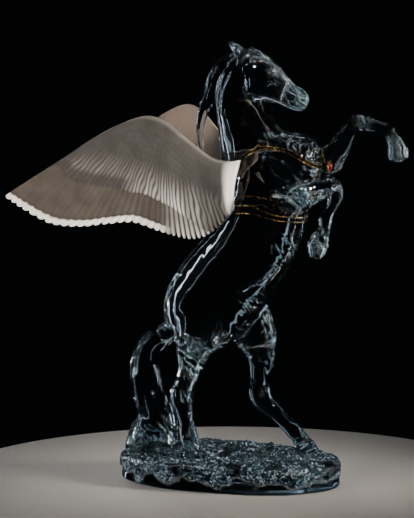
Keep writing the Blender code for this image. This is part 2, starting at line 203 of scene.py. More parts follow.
# Modelling marks on the right side, each made on the left too: (place, radius, height outwards)
SWELLINGS = [
    ((67, -12, 524), 7.0, -1.5),  # eye socket
    ((66.5, -12.5, 524), 3.4, 2.6),  # eyeball
    ((44, -15, 507), 14.0, 1.6),  # cheek
    ((86, -12, 500), 5.0, -1.0),  # hollow in front of the cheek
    ((107, -7, 498), 3.1, -3.4),  # nostril
    ((105, -6, 476), 5.0, 1.0),  # chin
    ((45, -46, 252), 20.0, -1.5),  # flank
    ((88, -38, 410), 18.0, 1.6),  # point of the shoulder
    ((-33, -46, 172), 20.0, 2.4),  # thigh
    ((-58, -34, 205), 20.0, 1.5),  # buttock
    ((112, -27, 420), 12.0, 1.2),  # breast muscle
]
# Raised lines and furrows on the right side, each made on the left too: (path, width, height outwards)
LINES = [
    ([(58, -13, 528), (63, -12, 532), (70, -11, 531), (77, -9, 526)], 1.7, 1.3),  # brow
    ([(60, -14, 522), (64, -14, 527), (69, -13, 527.5), (73, -12, 523.5)], 0.9, -0.9),  # upper lid
    ([(60, -14, 522), (65, -14, 519.5), (70, -13, 520), (73, -12, 523.5)], 0.9, -0.8),  # lower lid
    ([(56, -15, 514), (68, -13.5, 509), (80, -11.5, 505)], 2.4, 0.9),  # cheek bone
    ([(111, -6, 502), (107, -7, 504), (102, -9, 500), (103, -10, 494), (109, -8, 492)],
     1.3, 1.6),  # nostril's rim
    ([(117, -4, 489), (108, -8, 486), (99, -10.5, 486), (92, -11, 488)], 1.0, -1.5),  # mouth
    ([(114, -4, 485), (106, -8, 481), (98, -9, 481)], 1.2, 0.8),  # lower lip
    ([(86, -5, 515), (84, -10, 505), (79, -11, 496), (75, -7, 487)], 1.0, -1.6),  # muzzle's start
    ([(66, -10, 528), (74, -7, 528), (81, -5, 521), (86, -5, 514)], 1.3, -1.8),  # over the eye, to the nose
    ([(25, -14, 512), (27, -15, 499), (33, -14, 489), (43, -11, 483)], 3.0, -2.4),  # behind the jaw
    ([(74, -8, 526), (86, -8, 514), (98, -8, 505)], 2.0, -0.8),  # beside the nose
    ([(19, -9, 545), (5, -14, 526), (-7, -16, 500), (-12, -16, 470)], 2.6, -2.0),  # crest
    ([(25, -15, 545), (17, -16, 553), (9, -14, 561)], 1.9, -2.0),  # hollow of the ear
    ([(34, -3, 552), (50, -6, 546), (64, -7, 538), (74, -6, 530)], 1.7, 1.5),  # forelock
    ([(38, -8, 546), (52, -10, 541), (62, -10, 536)], 1.3, 1.5),  # forelock's side
    ([(60, -42, 392), (78, -42, 372), (84, -42, 352), (100, -38, 340)], 3.2, -2.4),  # elbow
    ([(90, -37, 416), (103, -36, 402), (110, -31, 388), (115, -25, 377)],
     2.6, -2.2),  # front of the shoulder
    ([(60, -30, 424), (84, -34, 414), (104, -34, 402), (118, -26, 390)], 3.4, -1.8),  # shoulder blade
    ([(126, 0, 425), (134, 0, 404), (128, 0, 380), (118, 0, 356)], 4.5, -1.1),  # between the breasts
    ([(77, -28, 263), (60, -34, 247), (45, -38, 239), (31, -41, 231)], 2.8, -3.0),  # fold of the flank
    ([(110, 0, 330), (100, 0, 290), (78, 0, 250), (58, 0, 218)], 3.5, -0.6),  # belly
]
# Marks on one side alone
ONE_SIDED_LINES = [
    ([(-68, -34, 154), (-50, -48, 143), (-31, -49, 146), (-15, -45, 153), (-6, -42, 165), (-1, -42, 187),
      (0, -44, 207)], 3.4, -4.2),  # right thigh's edge
    ([(2, 44, 152), (16, 48, 143), (32, 48, 145), (46, 44, 153), (54, 40, 170), (56, 36, 190)], 3.4, -4.2),
    ([(104, -43, 371), (113, -40, 379), (127, -36, 382), (140, -38, 379)], 2.2, -1.8),  # right elbow
    ([(123, -40, 352), (130, -44, 366), (142, -43, 372), (148, -43, 369), (142, -39, 360), (130, -38, 350)],
     2.0, -1.6),
    ([(80, -42, 363), (92, -45, 364), (103, -45, 361), (115, -41, 350), (112, -36, 344)], 2.4, -2.0),
    ([(-44, -48, 128), (-50, -50, 104), (-50, -51, 90)], 2.2, -1.2),  # right gaskin
    ([(-49, -50, 62), (-44, -51, 44), (-42, -51, 32)], 1.8, -0.9),  # right hind cannon
    ([(34, 48, 128), (32, 49, 104), (30, 49, 88)], 2.2, -1.2),
    ([(40, 50, 62), (56, 51, 48), (72, 51, 35)], 1.8, -0.9),
    ([(128, -45, 362), (146, -45, 370), (158, -44, 374)], 2.0, -1.0),  # right forearm
    ([(162, -43, 358), (156, -41, 345), (152, -42, 336)], 1.6, -0.8),
    ([(132, 44, 410), (148, 42, 430), (160, 41, 446)], 2.0, -1.0),  # left forearm
    ([(176, 40, 459), (192, 38, 457), (206, 39, 452)], 1.6, -0.8),
]
# Where the hot glass was pinched and pulled, which left it crinkled: (place, radius)
CRINKLES = [
    ((-84, -14, 172), 16), ((-84, 14, 172), 16), ((-82, 0, 205), 13),  # rump
    ((-38, -46, 135), 19), ((-29, -34, 114), 10), ((-14, -42, 150), 9),  # right thigh's foot
    ((20, 46, 132), 16), ((52, 30, 158), 13), ((45, 22, 190), 12),  # left thigh
    ((42, -28, 215), 14), ((42, 28, 215), 14),  # groin
    ((88, -26, 292), 18), ((88, 26, 292), 18),  # front of the belly
    ((66, -20, 434), 14), ((66, 20, 434), 14), ((92, 0, 438), 12),  # top of the breast
    ((100, -22, 426), 12), ((100, 22, 426), 12), ((120, -18, 400), 9), ((120, 18, 400), 9),
    ((110, -42, 362), 20), ((106, 36, 386), 18), ((122, -16, 366), 14),  # elbows
    ((30, -12, 492), 8), ((50, 0, 546), 9), ((64, -3, 536), 8),  # jaw and forelock
    ((24, -12, 548), 7),  # ear
    ((-45, -46, 82), 11), ((-38, -44, 18), 14),  # right hind leg
    ((32, 38, 82), 10), ((88, 41, 16), 13),  # left hind leg
    ((-136, -18, 14), 18), ((-86, -12, 30), 15), ((-108, -24, 0), 14), ((-112, 28, 10), 18),  # tail
    ((183, 28, 460), 11), ((226, 28, 428), 14),  # left foreleg
    ((142, -36, 310), 16), ((160, -36, 372), 9),  # right foreleg
]
CRINKLE_HEIGHT = 0.65
CRINKLE_SPACING = 7.6
# How white the frost of painted glints is on the crests of the swirls, of the finer swirls, and on narrow
# marks
FROST_GLINT = 0.5
MUZZLE_FROST_GLINT = 0.95
MARK_FROST_GLINT = 0.75
# A mark gets painted glints if it is narrower than the first and at least as high or deep as the second. One
# on one side alone gets them if it is deeper than the second and shallower than the third.
FINE_MARK = 1.8
DEEP_MARK = 1.5
DEEPEST_FROST_GLINT = 2.1
# The muzzle, and a few more small places, have the same swirls, made finer
MUZZLE_SWIRLS = [
    ((100, -8, 493), 14), ((100, 8, 493), 14),
    ((13, -12, 557), 9), ((36, 0, 552), 8), ((50, -3, 547), 7),  # ear and forelock
    ((229, 28, 422), 14), ((183, 28, 461), 9), ((140, -36, 298), 13),  # hooves and knee in the air
    ((-39, -46, 132), 13), ((-33, -40, 116), 8),  # right thigh's foot
]
# The nostril is kept free of swirls
NOSTRIL = (107, -7, 498)
NOSTRIL_CLEARING = 5.0
MUZZLE_SWIRL_HEIGHT = 0.7
MUZZLE_SWIRL_SPACING = 5.4
# How far a lock of the mane or tail can lie from its middle line
STRAND_REACH = 45
# Rings round the legs over the hooves: (middle, direction of the leg, reach, width, depth)
CORONETS = [
    ((-40.5, -41, 10), (0.1, 0, -1), 18, 1.6, 1.5),
    ((90, 41, 14), (0.55, 0, -1), 18, 1.6, 1.5),
    ((146.5, -33, 314), (-0.4, 0, -1), 17, 1.5, 1.4),
    ((226, 30, 434), (0.35, 0, -1), 17, 1.5, 1.4),
    ((150.5, -33, 326), (-0.2, 0, -1), 15, 1.8, 1.0),
    ((219, 30, 445), (0.7, 0, -1), 15, 1.8, 1.0),
]

# The right wing's edges from root to tip
LEADING_EDGE = [
    (31, -40, 409),
    (13, -42, 406),
    (-6, -46, 411),
    (-24, -51, 423),
    (-45, -58, 441),
    (-67, -66, 460),
    (-93, -75, 467),
    (-124, -88, 456),
    (-158, -104, 436),
    (-192, -126, 410),
    (-226, -150, 388),
    (-255, -174, 369),
]
TRAILING_EDGE = [
    (24, -42, 342),
    (12, -46, 326),
    (-6, -52, 310),
    (-27, -58, 301),
    (-50, -65, 304),
    (-75, -74, 312),
    (-106, -86, 323),
    (-139, -100, 321),
    (-173, -117, 318),
    (-206, -136, 323),
    (-236, -156, 343),
    (-256, -174, 362),
]
FEATHERS = 38
# Shares of the way from root to tip: the root's long feathers end, and the outer wing, with its hem of
# painted highlight, begins
ROOT_FEATHERS_END = 0.46
OUTER_WING = 0.36
# The covert's ridges, each with its own strength
RIDGES = 64
COLUMNS_PER_FEATHER = 8
WING_ROWS = 96
# Where on the front edge a feather starts, against where on the back edge it ends
FEATHER_BASES = [(0, 0), (0.1, 0.18), (0.25, 0.35), (0.4, 0.42), (0.6, 0.47), (0.8, 0.54), (0.9, 0.64),
                 (1, 0.82)]
# How far down its feather the covert layer reaches, and where its ridges begin, from root to tip
COVERT_REACH = [(0, 1.2), (0.14, 1.1), (0.205, 0.96), (0.27, 0.81), (0.37, 0.725), (0.495, 0.705),
                (0.59, 0.70), (0.65, 0.655), (0.72, 0.63), (0.84, 0.615), (0.895, 0.585), (0.98, 0.315),
                (1, 0.25)]
RIDGE_START = [(0, 0.52), (0.18, 0.38), (0.46, 0.37), (0.61, 0.34), (0.75, 0.30), (0.90, 0.28), (1, 0.2)]
# Thickness from the front edge (0) to the tips (1), as a share of the arm, then how the root swells
# and how the arm tapers from root (0) to tip (1)
WING_SECTION = [(0.0, 0.25), (0.02, 0.55), (0.05, 0.78), (0.12, 1.0), (0.30, 0.85), (0.60, 0.45),
                (1.0, 0.0)]
ROOT_SWELL = [(0.0, 0.25), (0.05, 1.0), (0.08, 1.0), (0.18, 0.0)]
ARM_TAPER = [(0.0, 1.0), (0.55, 0.85), (1.0, 0.30)]
WING_ROOT_THICKNESS = 19.0
WING_ARM_THICKNESS = 10.5
WING_EDGE_THICKNESS = 2.4
WING_CAMBER = 12.0
FEATHER_NOTCH = 3.4
ROOT_NOTCH = 6.5
FEATHER_RELIEF = 0.75
RIDGE_HEIGHT = 1.0
COVERT_STEP = 0.9
LINING_STEP = 0.8
LINING_REACH = 0.60
# The root, where the wing is drawn off the horse, and the gaps left to its skin
WING_ROOT = 0.22
INNER_GAP = 0.4
OUTER_GAP = 1.0
SCALE_ROW = 9.0
# Width in mm of the hem's bevel and of its near-white band of painted highlight
PALE_EDGE = 11.0
# The band of painted highlight at the root, pale as if its face were lit, as a share of the way to the tip
ROOT_BAND = 0.066

# The harness, drawn in onto the horse's skin
BREAST_STRAP = [
    (26, -36, 408),
    (40, -40, 419),
    (57, -42, 428),
    (75, -41, 431),
    (94, -38, 427),
    (112, -30, 414),
    (126, -18, 404),
    (136, -6, 400),
]
GIRTH_CORDS = {
    "front_girth_cord": [
        (22, -40, 347),
        (40, -50, 349),
        (56, -52, 347),
        (68, -50, 342),
        (84, -42, 336),
        (100, -24, 333),
    ],
    "rear_girth_cord": [
        (14, -40, 334),
        (34, -50, 338),
        (52, -52, 338),
        (66, -50, 335),
        (82, -42, 330),
        (98, -24, 327),
    ],
}
CHEST_STRAP = [
    (128, 0, 389),
    (124, 0, 374),
    (120, 0, 358),
    (116, 0, 346),
    (114, 0, 338),
]
CORD_DIAMETER = 1.7
STRAP_WIDTH = 5.4
BEAD_DIAMETER = 1.5
STRAP_SEAT = 0.5
BREAST_STEPS = 161
CHEST_STEPS = 41
GIRTH_STEPS = 121
# Rounds of snapping a guide onto the skin, and of smoothing its normals
SNAP_ROUNDS = 14
NORMAL_ROUNDS = 6
MEDALLION_RADIUS = 8.5
MEDALLION_THICKNESS = 3.0
STONE_RADIUS = 5.8
STONE_HEIGHT = 3.6
MEDALLION_GAP = 0.2

# The base
BASE_LENGTH = 312.0
BASE_WIDTH = 190.0
CLEAR_BAND = 14.0
EDGE_ROUNDING = 10.0
# The foot's profile: (share of the outline, height)
BASE_FOOT = [(0.955, 0.0), (0.975, 0.6), (0.983, 2.0), (0.985, 4.0)]
BASE_SECTORS = 520
TOP_RINGS = 104
SIDE_RINGS = 22
CHIP_SIZE = 5.0
CHIP_HEIGHT = 0.8
SOCKETS = [((-38, -41), (20.6, 18.8)), ((98, 41), (22.4, 19.0)), ((-112, 0), (43.0, 37.0))]
SOCKET_DEPTH = 4.9


def linear(hex_colour):
    """The hex colour, which is sRGB, as linear red, green, blue and 1."""
    channels = [int(hex_colour[i:i + 2], 16) / 255 for i in (1, 3, 5)]
    return (*[c / 12.92 if c <= 0.04045 else ((c + 0.055) / 1.055) ** 2.4 for c in channels], 1.0)


def add(tree, kind, settings=(), stops=(), **links):
    """A node of the kind, with its own settings and its inputs set or linked by name.

    _6 is the input numbered 6. The stops of a colour ramp are (place, hex colour).
    """
    node = tree.nodes.new(kind)
    for key, value in dict(settings).items():
        setattr(node, key, value)
    for key, value in links.items():
        socket = node.inputs[int(key[1:])] if key[0] == "_" else node.inputs[key.replace("_", " ")]
        if isinstance(value, bpy.types.NodeSocket):
            tree.links.new(value, socket)
        else:
            socket.default_value = value
    if stops:
        while len(node.color_ramp.elements) < len(stops):
            node.color_ramp.elements.new(0.5)
        for element, (place, colour) in zip(node.color_ramp.elements, stops):
            element.position = place
            element.color = linear(colour)
    return node


def new_material(name, **shader_values):
    """A material whose Principled shader has the values: (material, tree, shader, place on the object)."""
    made = bpy.data.materials.new(name)
    made.use_nodes = True
    tree = made.node_tree
    shader = tree.nodes["Principled BSDF"]
    for key, value in shader_values.items():
        shader.inputs[key.replace("_", " ")].default_value = value
    return made, tree, shader, add(tree, "ShaderNodeTexCoord").outputs["Object"]


def clear_cast_glass():
    """Clear cast glass, fire-polished: colourless, with slow ripples 14 mm apart.

    Where it was worked hot it is crinkled and reads faintly blue-green; its crests there, and narrow marks,
    are frosted white as painted glints, where the glass would catch the light: each swirl shows as a pale
    line.
    """
    made, tree, shader, place = new_material("clear_cast_glass", IOR=1.5)
    worked = add(tree, "ShaderNodeAttribute", {"attribute_name": "crinkle"}).outputs["Fac"]
    frost_glint = add(tree, "ShaderNodeAttribute", {"attribute_name": "frost_glint"}).outputs["Fac"]
    tint = add(tree, "ShaderNodeValToRGB", stops=[(0.15, "#f8fcff"), (0.85, "#b4dae8")], Fac=worked)
    tint = add(tree, "ShaderNodeMix", {"data_type": "RGBA"}, _0=frost_glint, _6=tint.outputs["Color"],
               _7=linear("#c9dfe8")).outputs[2]
    tree.links.new(tint, shader.inputs["Base Color"])
    # Where the painted glints lie, the glass is part white frost: less clear and rougher.
    for socket, clear, at_frost_glint in (("Transmission Weight", 1.0, 0.5), ("Roughness", 0.0, 0.25)):
        value = add(tree, "ShaderNodeMapRange", Value=frost_glint, _3=clear, _4=at_frost_glint)
        tree.links.new(value.outputs["Result"], shader.inputs[socket])
    slow = add(tree, "ShaderNodeTexNoise", Vector=place, Scale=1 / 0.014, Detail=1.0).outputs["Fac"]
    bump = add(tree, "ShaderNodeBump", Height=slow, Strength=0.05, Distance=0.002)
    tree.links.new(bump.outputs["Normal"], shader.inputs["Normal"])
    return made


def chipped_glass():
    """Cast glass with a chipped, ice-like skin: grains 2 mm wide, from black clear ones to white ones."""
    made, tree, shader, place = new_material("chipped_cast_glass", IOR=1.5)
    skin = add(tree, "ShaderNodeAttribute", {"attribute_name": "rough"}).outputs["Fac"]
    grain = add(tree, "ShaderNodeTexVoronoi", Vector=place, Scale=1 / 0.0022).outputs["Color"]
    grain = add(tree, "ShaderNodeSeparateColor", Color=grain).outputs["Red"]
    cloud = add(tree, "ShaderNodeTexNoise", Vector=place, Scale=1 / 0.012, Detail=6.0,
                Roughness=0.72).outputs["Fac"]
    frost = add(tree, "ShaderNodeMix", {"data_type": "FLOAT"}, _0=0.35, _2=cloud, _3=grain).outputs[0]
    tint = add(tree, "ShaderNodeValToRGB", Fac=frost,
               stops=[(0.38, "#080d12"), (0.49, "#364e5f"), (0.60, "#7896a7"), (0.72, "#e6f1f6")])
    patch = add(tree, "ShaderNodeTexNoise", Vector=place, Scale=1 / 0.028, Detail=3.0).outputs["Fac"]
    gaps = add(tree, "ShaderNodeValToRGB", stops=[(0.34, "#1d262c"), (0.45, "#ffffff")], Fac=patch)
    tint = add(tree, "ShaderNodeMix", {"data_type": "RGBA", "blend_type": "MULTIPLY"}, _0=1.0,
               _6=tint.outputs["Color"], _7=gaps.outputs["Color"]).outputs[2]
    tint = add(tree, "ShaderNodeMix", {"data_type": "RGBA"}, _0=skin, _6=linear("#eef7fc"),
               _7=tint).outputs[2]
    tree.links.new(tint, shader.inputs["Base Color"])
    for socket, clear, chipped in (("Transmission Weight", 1.0, 0.55), ("Roughness", 0.02, 0.14)):
        value = add(tree, "ShaderNodeMapRange", Value=skin, _3=clear, _4=chipped)
        tree.links.new(value.outputs["Result"], shader.inputs[socket])
    height = add(tree, "ShaderNodeMath", {"operation": "MULTIPLY"}, _0=frost, _1=skin).outputs[0]
    bump = add(tree, "ShaderNodeBump", Height=height, Strength=0.5, Distance=0.002)
    tree.links.new(bump.outputs["Normal"], shader.inputs["Normal"])
    return made


def satin_glass():
    """Acid-etched satin glass: grey, warmer on the flight feathers. The inner skins are painted lighter and
    warmer, as if in warm light; painted highlight makes the hem, the root's band, the upper rim and the
    ridges' crests near-white, and painted shade darkens the furrows, the inner root and the dips between
    feathers.

    Streaks run down the feathers. The barbs are drawn about 1 mm wide, because real ones are too fine
    to show.
    """
    made, tree, shader, place = new_material("acid_etched_satin_glass", Roughness=0.58, IOR=1.5,
                                             Specular_IOR_Level=0.25, Transmission_Weight=0.05)
    feather = add(tree, "ShaderNodeUVMap", {"uv_map": "feather"}).outputs["UV"]
    covert = add(tree, "ShaderNodeAttribute", {"attribute_name": "covert"}).outputs["Fac"]
    along = add(tree, "ShaderNodeMapping", Vector=feather, Scale=(9.0, 1.6, 1.0)).outputs["Vector"]
    streak = add(tree, "ShaderNodeTexNoise", Vector=along, Scale=1.0, Detail=3.0).outputs["Fac"]
    cloud = add(tree, "ShaderNodeTexNoise", Vector=place, Scale=1 / 0.02, Detail=2.0).outputs["Fac"]
    body = add(tree, "ShaderNodeMix", {"data_type": "RGBA"}, _0=covert,
               _6=linear("#58534d"), _7=linear("#4f4d4b")).outputs[2]
    shade = add(tree, "ShaderNodeValToRGB", stops=[(0.3, "#b9b3ad"), (0.7, "#ffffff")], Fac=streak)
    body = add(tree, "ShaderNodeMix", {"data_type": "RGBA", "blend_type": "MULTIPLY"}, _0=0.45,
               _6=body, _7=shade.outputs["Color"]).outputs[2]
    mottle = add(tree, "ShaderNodeValToRGB", stops=[(0.3, "#dedad6"), (0.7, "#ffffff")], Fac=cloud)
    body = add(tree, "ShaderNodeMix", {"data_type": "RGBA", "blend_type": "MULTIPLY"}, _0=1.0,
               _6=body, _7=mottle.outputs["Color"]).outputs[2]
    # Painted light, zone by zone: the inner skins painted lighter and warmer as if in warm light, then
    # painted shade (#2b2724), then near-white painted highlight (#fdf5ee).
    for zone, colour in (("warm", "#8a7768"), ("painted_shade", "#2b2724"), ("thin", "#fdf5ee")):
        share = add(tree, "ShaderNodeAttribute", {"attribute_name": zone}).outputs["Fac"]
        body = add(tree, "ShaderNodeMix", {"data_type": "RGBA"}, _0=share, _6=body,
                   _7=linear(colour)).outputs[2]
    tree.links.new(body, shader.inputs["Base Color"])
    barbs = add(tree, "ShaderNodeMapping", Vector=feather, Scale=(7.0, 60.0, 1.0)).outputs["Vector"]
    fine = add(tree, "ShaderNodeTexNoise", Vector=barbs, Scale=1.0, Detail=2.0).outputs["Fac"]
    bump = add(tree, "ShaderNodeBump", Height=fine, Strength=0.3, Distance=0.0006)
    tree.links.new(bump.outputs["Normal"], shader.inputs["Normal"])
    return made


def gilt_brass():
    """Gilded brass wire: warm gold, polished, with soft handling marks 4 mm across, and its web between the
    beads dark.
    """
    made, tree, shader, place = new_material("gilded_brass", Metallic=1.0)
    marks = add(tree, "ShaderNodeTexNoise", Vector=place, Scale=1 / 0.004, Detail=3.0).outputs["Fac"]
    gold = add(tree, "ShaderNodeValToRGB", stops=[(0.3, "#6b532c"), (0.7, "#c9aa76")], Fac=marks)
    # The strap's low web between its beads is made dark brown.
    web = add(tree, "ShaderNodeAttribute", {"attribute_name": "web"}).outputs["Fac"]
    gold = add(tree, "ShaderNodeMix", {"data_type": "RGBA"}, _0=web, _6=gold.outputs["Color"],
               _7=linear("#1f170d")).outputs[2]
    tree.links.new(gold, shader.inputs["Base Color"])
    matt = add(tree, "ShaderNodeMapRange", Value=marks, _1=0.3, _2=0.7, _3=0.16, _4=0.34)
    tree.links.new(matt.outputs["Result"], shader.inputs["Roughness"])
    return made


def red_glass():
    """Red glass cabochon, polished: deep red with cloudy threads 2 mm apart."""
    made, tree, shader, place = new_material("red_glass_cabochon", Roughness=0.04, IOR=1.52,
                                             Transmission_Weight=0.45)
    cloud = add(tree, "ShaderNodeTexNoise", Vector=place, Scale=1 / 0.002, Detail=2.0).outputs["Fac"]
    tint = add(tree, "ShaderNodeValToRGB", stops=[(0.3, "#2e0404"), (0.7, "#6a0e0b")], Fac=cloud)
    tree.links.new(tint.outputs["Color"], shader.inputs["Base Color"])
    return made


def floor_plaster():
    """Matt pale plaster board: warm off-white with a fine tooth 5 mm across."""
    made, tree, shader, place = new_material("matt_plaster_board", Roughness=0.8)
    tooth = add(tree, "ShaderNodeTexNoise", Vector=place, Scale=1 / 0.005, Detail=2.0).outputs["Fac"]
    tint = add(tree, "ShaderNodeValToRGB", stops=[(0.3, "#b3b1ac"), (0.7, "#bdbab5")], Fac=tooth)
    tree.links.new(tint.outputs["Color"], shader.inputs["Base Color"])
    return made


def new_piece(name, points, faces, look, node):
    """A piece at the origin from points in metres, which stands for a node of the frame."""
    mesh = bpy.data.meshes.new(name)
    mesh.from_pydata(np.asarray(points, float).tolist(), [], [list(map(int, f)) for f in faces])
    bm = bmesh.new()
    bm.from_mesh(mesh)
    bmesh.ops.recalc_face_normals(bm, faces=bm.faces)
    bm.to_mesh(mesh)
    bm.free()
    mesh.shade_smooth()
    mesh.materials.append(look)
    piece = bpy.data.objects.new(name, mesh)
    bpy.context.collection.objects.link(piece)
    if node:
        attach(piece, "root")
        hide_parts(node)
    return piece


def store(mesh, key, values):
    """One number for each of the mesh's points, kept as an attribute for the materials to read."""
    mesh.attributes.new(key, "FLOAT", "POINT").data.foreach_set("value", np.ravel(values).astype(np.float32))


def unit(rows):
    """Each row divided by its own length."""
    return rows / np.linalg.norm(rows, axis=-1, keepdims=True)


def read_off(pairs, at):
    """The broken line through the (place, value) pairs, at some places."""
    places, values = zip(*pairs)
    return np.interp(at, places, values)


def curve_through(rows, per_span):
    """A Catmull-Rom curve: between two rows it is a cubic that leaves each along its neighbours' chord."""
    rows = np.asarray(rows, float)
    ends = np.vstack([2 * rows[0] - rows[1], rows, 2 * rows[-1] - rows[-2]])
    a, b, c, d = (ends[i:len(ends) - 3 + i, None] for i in range(4))
    t = np.linspace(0, 1, per_span, endpoint=False)[None, :, None]
    spans = 0.5 * (2 * b + (c - a) * t + (2 * a - 5 * b + 4 * c - d) * t**2
                   + (3 * b - a - 3 * c + d) * t**3)
    return np.vstack([spans.reshape(-1, rows.shape[1]), rows[-1:]])


def ripples(points, wavelength, seed):
    """An even, smooth unevenness about 1 high: twelve sine waves in seeded directions, averaged."""
    pick = np.random.default_rng(seed)
    waves = unit(pick.normal(size=(12, 3))) * (2 * np.pi / wavelength) * pick.uniform(0.7, 1.3, (12, 1))
    return np.sin(points @ waves.T + pick.uniform(0, 2 * np.pi, 12)).sum(axis=1) / 2.5


def grid_faces(rows, columns, wrap=False):
    """Quads over a grid of points, closed from its last column to its first if wrapped."""
    i = np.arange(rows - 1)[:, None]
    j = np.arange(columns if wrap else columns - 1)[None]
    after = (j + 1) % columns
    quads = [i * columns + j, i * columns + after, (i + 1) * columns + after, (i + 1) * columns + j]
    return np.stack(quads, axis=-1).reshape(-1, 4)


def tube_faces(rings, sides):
    """Quads round a tube, and fans at its ends to the two points that follow its rings."""
    j = np.arange(sides)
    after, last = (j + 1) % sides, (rings - 1) * sides
    first_fan = np.stack([np.full(sides, rings * sides), after, j], axis=1)
    last_fan = np.stack([np.full(sides, rings * sides + 1), last + j, last + after], axis=1)
    return [*grid_faces(rings, sides, wrap=True).tolist(), *first_fan.tolist(), *last_fan.tolist()]


def limb(stations):
    """An oval tube through the stations: each ring is a cosine fore and aft and a sine across."""
    rows = curve_through(stations, TUBE_RINGS)
    centres, radii = rows[:, :3], np.maximum(rows[:, 3:], 0.5)
    along = unit(np.gradient(centres, axis=0))
    fore = unit(np.cross(along, [0.0, 1.0, 0.0]))
    across = np.cross(along, fore)
    turn = np.linspace(0, 2 * np.pi, TUBE_SIDES, endpoint=False)
    rings = (centres[:, None] + fore[:, None] * (radii[:, :1] * np.cos(turn))[..., None]
             + across[:, None] * (radii[:, 1:] * np.sin(turn))[..., None])
    bulge = radii.min(axis=1, keepdims=True) * 0.35
    ends = [centres[0] - along[0] * bulge[0], centres[-1] + along[-1] * bulge[-1]]
    return np.vstack([rings.reshape(-1, 3), ends]), tube_faces(len(rows), TUBE_SIDES)


def in_metres(points):
    """Millimetres over the base's top, as metres over the floor."""
    return (np.asarray(points, float) + [0, 0, BASE_TOP]) * MM


def melted(shells):
    """The shells as one skin: remeshed on a fine lattice, softened, and the head's lattice halved."""
    points, faces, offset = [], [], 0
    for shell_points, shell_faces in shells:
        points.append(shell_points)
        faces += [[i + offset for i in face] for face in shell_faces]
        offset += len(shell_points)
    rough = new_piece("rough_casting", in_metres(np.vstack(points)), faces, None, None)
    melt = rough.modifiers.new("melt", "REMESH")
    melt.mode = "VOXEL"
    melt.voxel_size = HORSE_VOXEL * MM
    soften = rough.modifiers.new("soften", "SMOOTH")
    soften.iterations = HORSE_SOFTENING
    skin = bpy.data.meshes.new_from_object(rough.evaluated_get(bpy.context.evaluated_depsgraph_get()))
    bpy.data.objects.remove(rough)
    bm = bmesh.new()
    bm.from_mesh(skin)
    low = in_metres(HEAD_CORNER)
    head = [e for e in bm.edges if all(v.co.x > low[0] and v.co.z > low[2] for v in e.verts)]
    bmesh.ops.subdivide_edges(bm, edges=head, cuts=1, use_grid_fill=True)
    bmesh.ops.smooth_vert(bm, verts=[v for v in bm.verts if v.co.x > low[0] and v.co.z > low[2]],
                          factor=0.5, use_axis_x=True, use_axis_y=True, use_axis_z=True)
    bmesh.ops.triangulate(bm, faces=[f for f in bm.faces if len(f.verts) > 4])
    bm.to_mesh(skin)
    bm.free()
    return skin, *skin_arrays(skin)


def skin_arrays(mesh):
    """A mesh's points, in mm over the base's top, and its normals."""
    points = np.empty(len(mesh.vertices) * 3)
    normals = np.empty(len(mesh.vertices) * 3)
    mesh.vertices.foreach_get("co", points)
    mesh.vertex_normals.foreach_get("vector", normals)
    return points.reshape(-1, 3) / MM - [0, 0, BASE_TOP], normals.reshape(-1, 3)


def swelling(points, place, radius, height):
    """Height at the place, falling away as a bell curve of the radius."""
    away = ((points - place) ** 2).sum(axis=1)
    return height * np.exp(-away / radius**2)


def distance_to_path(points, path):
    """The distance from each point to the nearest stretch of a path."""
    nearest = np.full(len(points), np.inf)
    for start, end in zip(path, path[1:]):
        stretch = end - start
        share = np.clip((points - start) @ stretch / (stretch @ stretch), 0, 1)
        nearest = np.minimum(nearest, np.linalg.norm(points - start - share[:, None] * stretch, axis=1))
    return nearest


def marked_line(points, path, width, height):
    """A bell-shaped ridge along the path, or a furrow if its height is negative, between lower banks."""
    path = curve_through(path, 4)
    reach = 5 * width
    near = ((points > path.min(axis=0) - reach) & (points < path.max(axis=0) + reach)).all(axis=1)
    away = distance_to_path(points[near], path) / width
    pull = np.zeros(len(points))
    pull[near] = height * (np.exp(-away**2) - 0.35 * np.exp(-((away - 2.0) / 0.9) ** 2))
    return pull


def swirls(points, spacing, seed):
    """Flowing lines, as tongs leave them in hot glass: a sine wave bent by two slow unevennesses."""
    bend = 2.8 * ripples(points, 34.0, seed) + 1.0 * ripples(points, 15.0, seed + 1)
    return np.sin(points @ unit(np.array([0.75, 0.3, 0.55])) * 2 * np.pi / spacing + bend)


def ring_mark(points, middle, direction, reach, width, depth):
    """A furrow round a leg: a bell-shaped dip across its direction, within reach of its middle."""
    offset = points - np.array(middle, float)
    along = offset @ unit(np.array(direction, float))
    near = np.linalg.norm(offset, axis=1) < reach
    return -depth * np.exp(-(along / width) ** 2) * near


def strands(points, stations, count, height, twist):
    """Locks of hair along a tube: a rounded wave round it, turning as it goes, faded out away from it."""
    line = curve_through(stations, 12)
    centres, reach = line[:, :3], line[:, 3:].max(axis=1) * 1.25
    walked = np.concatenate([[0], np.cumsum(np.linalg.norm(np.diff(centres, axis=0), axis=1))])
    pull = np.zeros(len(points))
    low, high = centres.min(axis=0) - STRAND_REACH, centres.max(axis=0) + STRAND_REACH
    near = np.nonzero(((points > low) & (points < high)).all(axis=1))[0]
    for some in np.array_split(near, max(1, len(near) // 4000)):
        gaps = np.linalg.norm(points[some, None] - centres[None], axis=2)
        at = gaps.argmin(axis=1)
        along = unit(np.gradient(centres, axis=0))[at]
        fore = unit(np.cross(along, [0.0, 1.0, 0.0]))
        across = np.cross(along, fore)
        offset = points[some] - centres[at]
        angle = np.arctan2((offset * across).sum(axis=1), (offset * fore).sum(axis=1))
        fade = np.clip((1.15 - gaps[np.arange(len(some)), at] / reach[at]) * 4, 0, 1)
        fade *= np.clip(at / 14, 0, 1)
        phase = count * angle + twist * walked[at] + 0.9 * np.sin(walked[at] / 23 + 2 * angle)
        pull[some] = height * fade * (1 - 1.6 * np.abs(np.sin(phase / 2)) ** 2.2)
    return pull


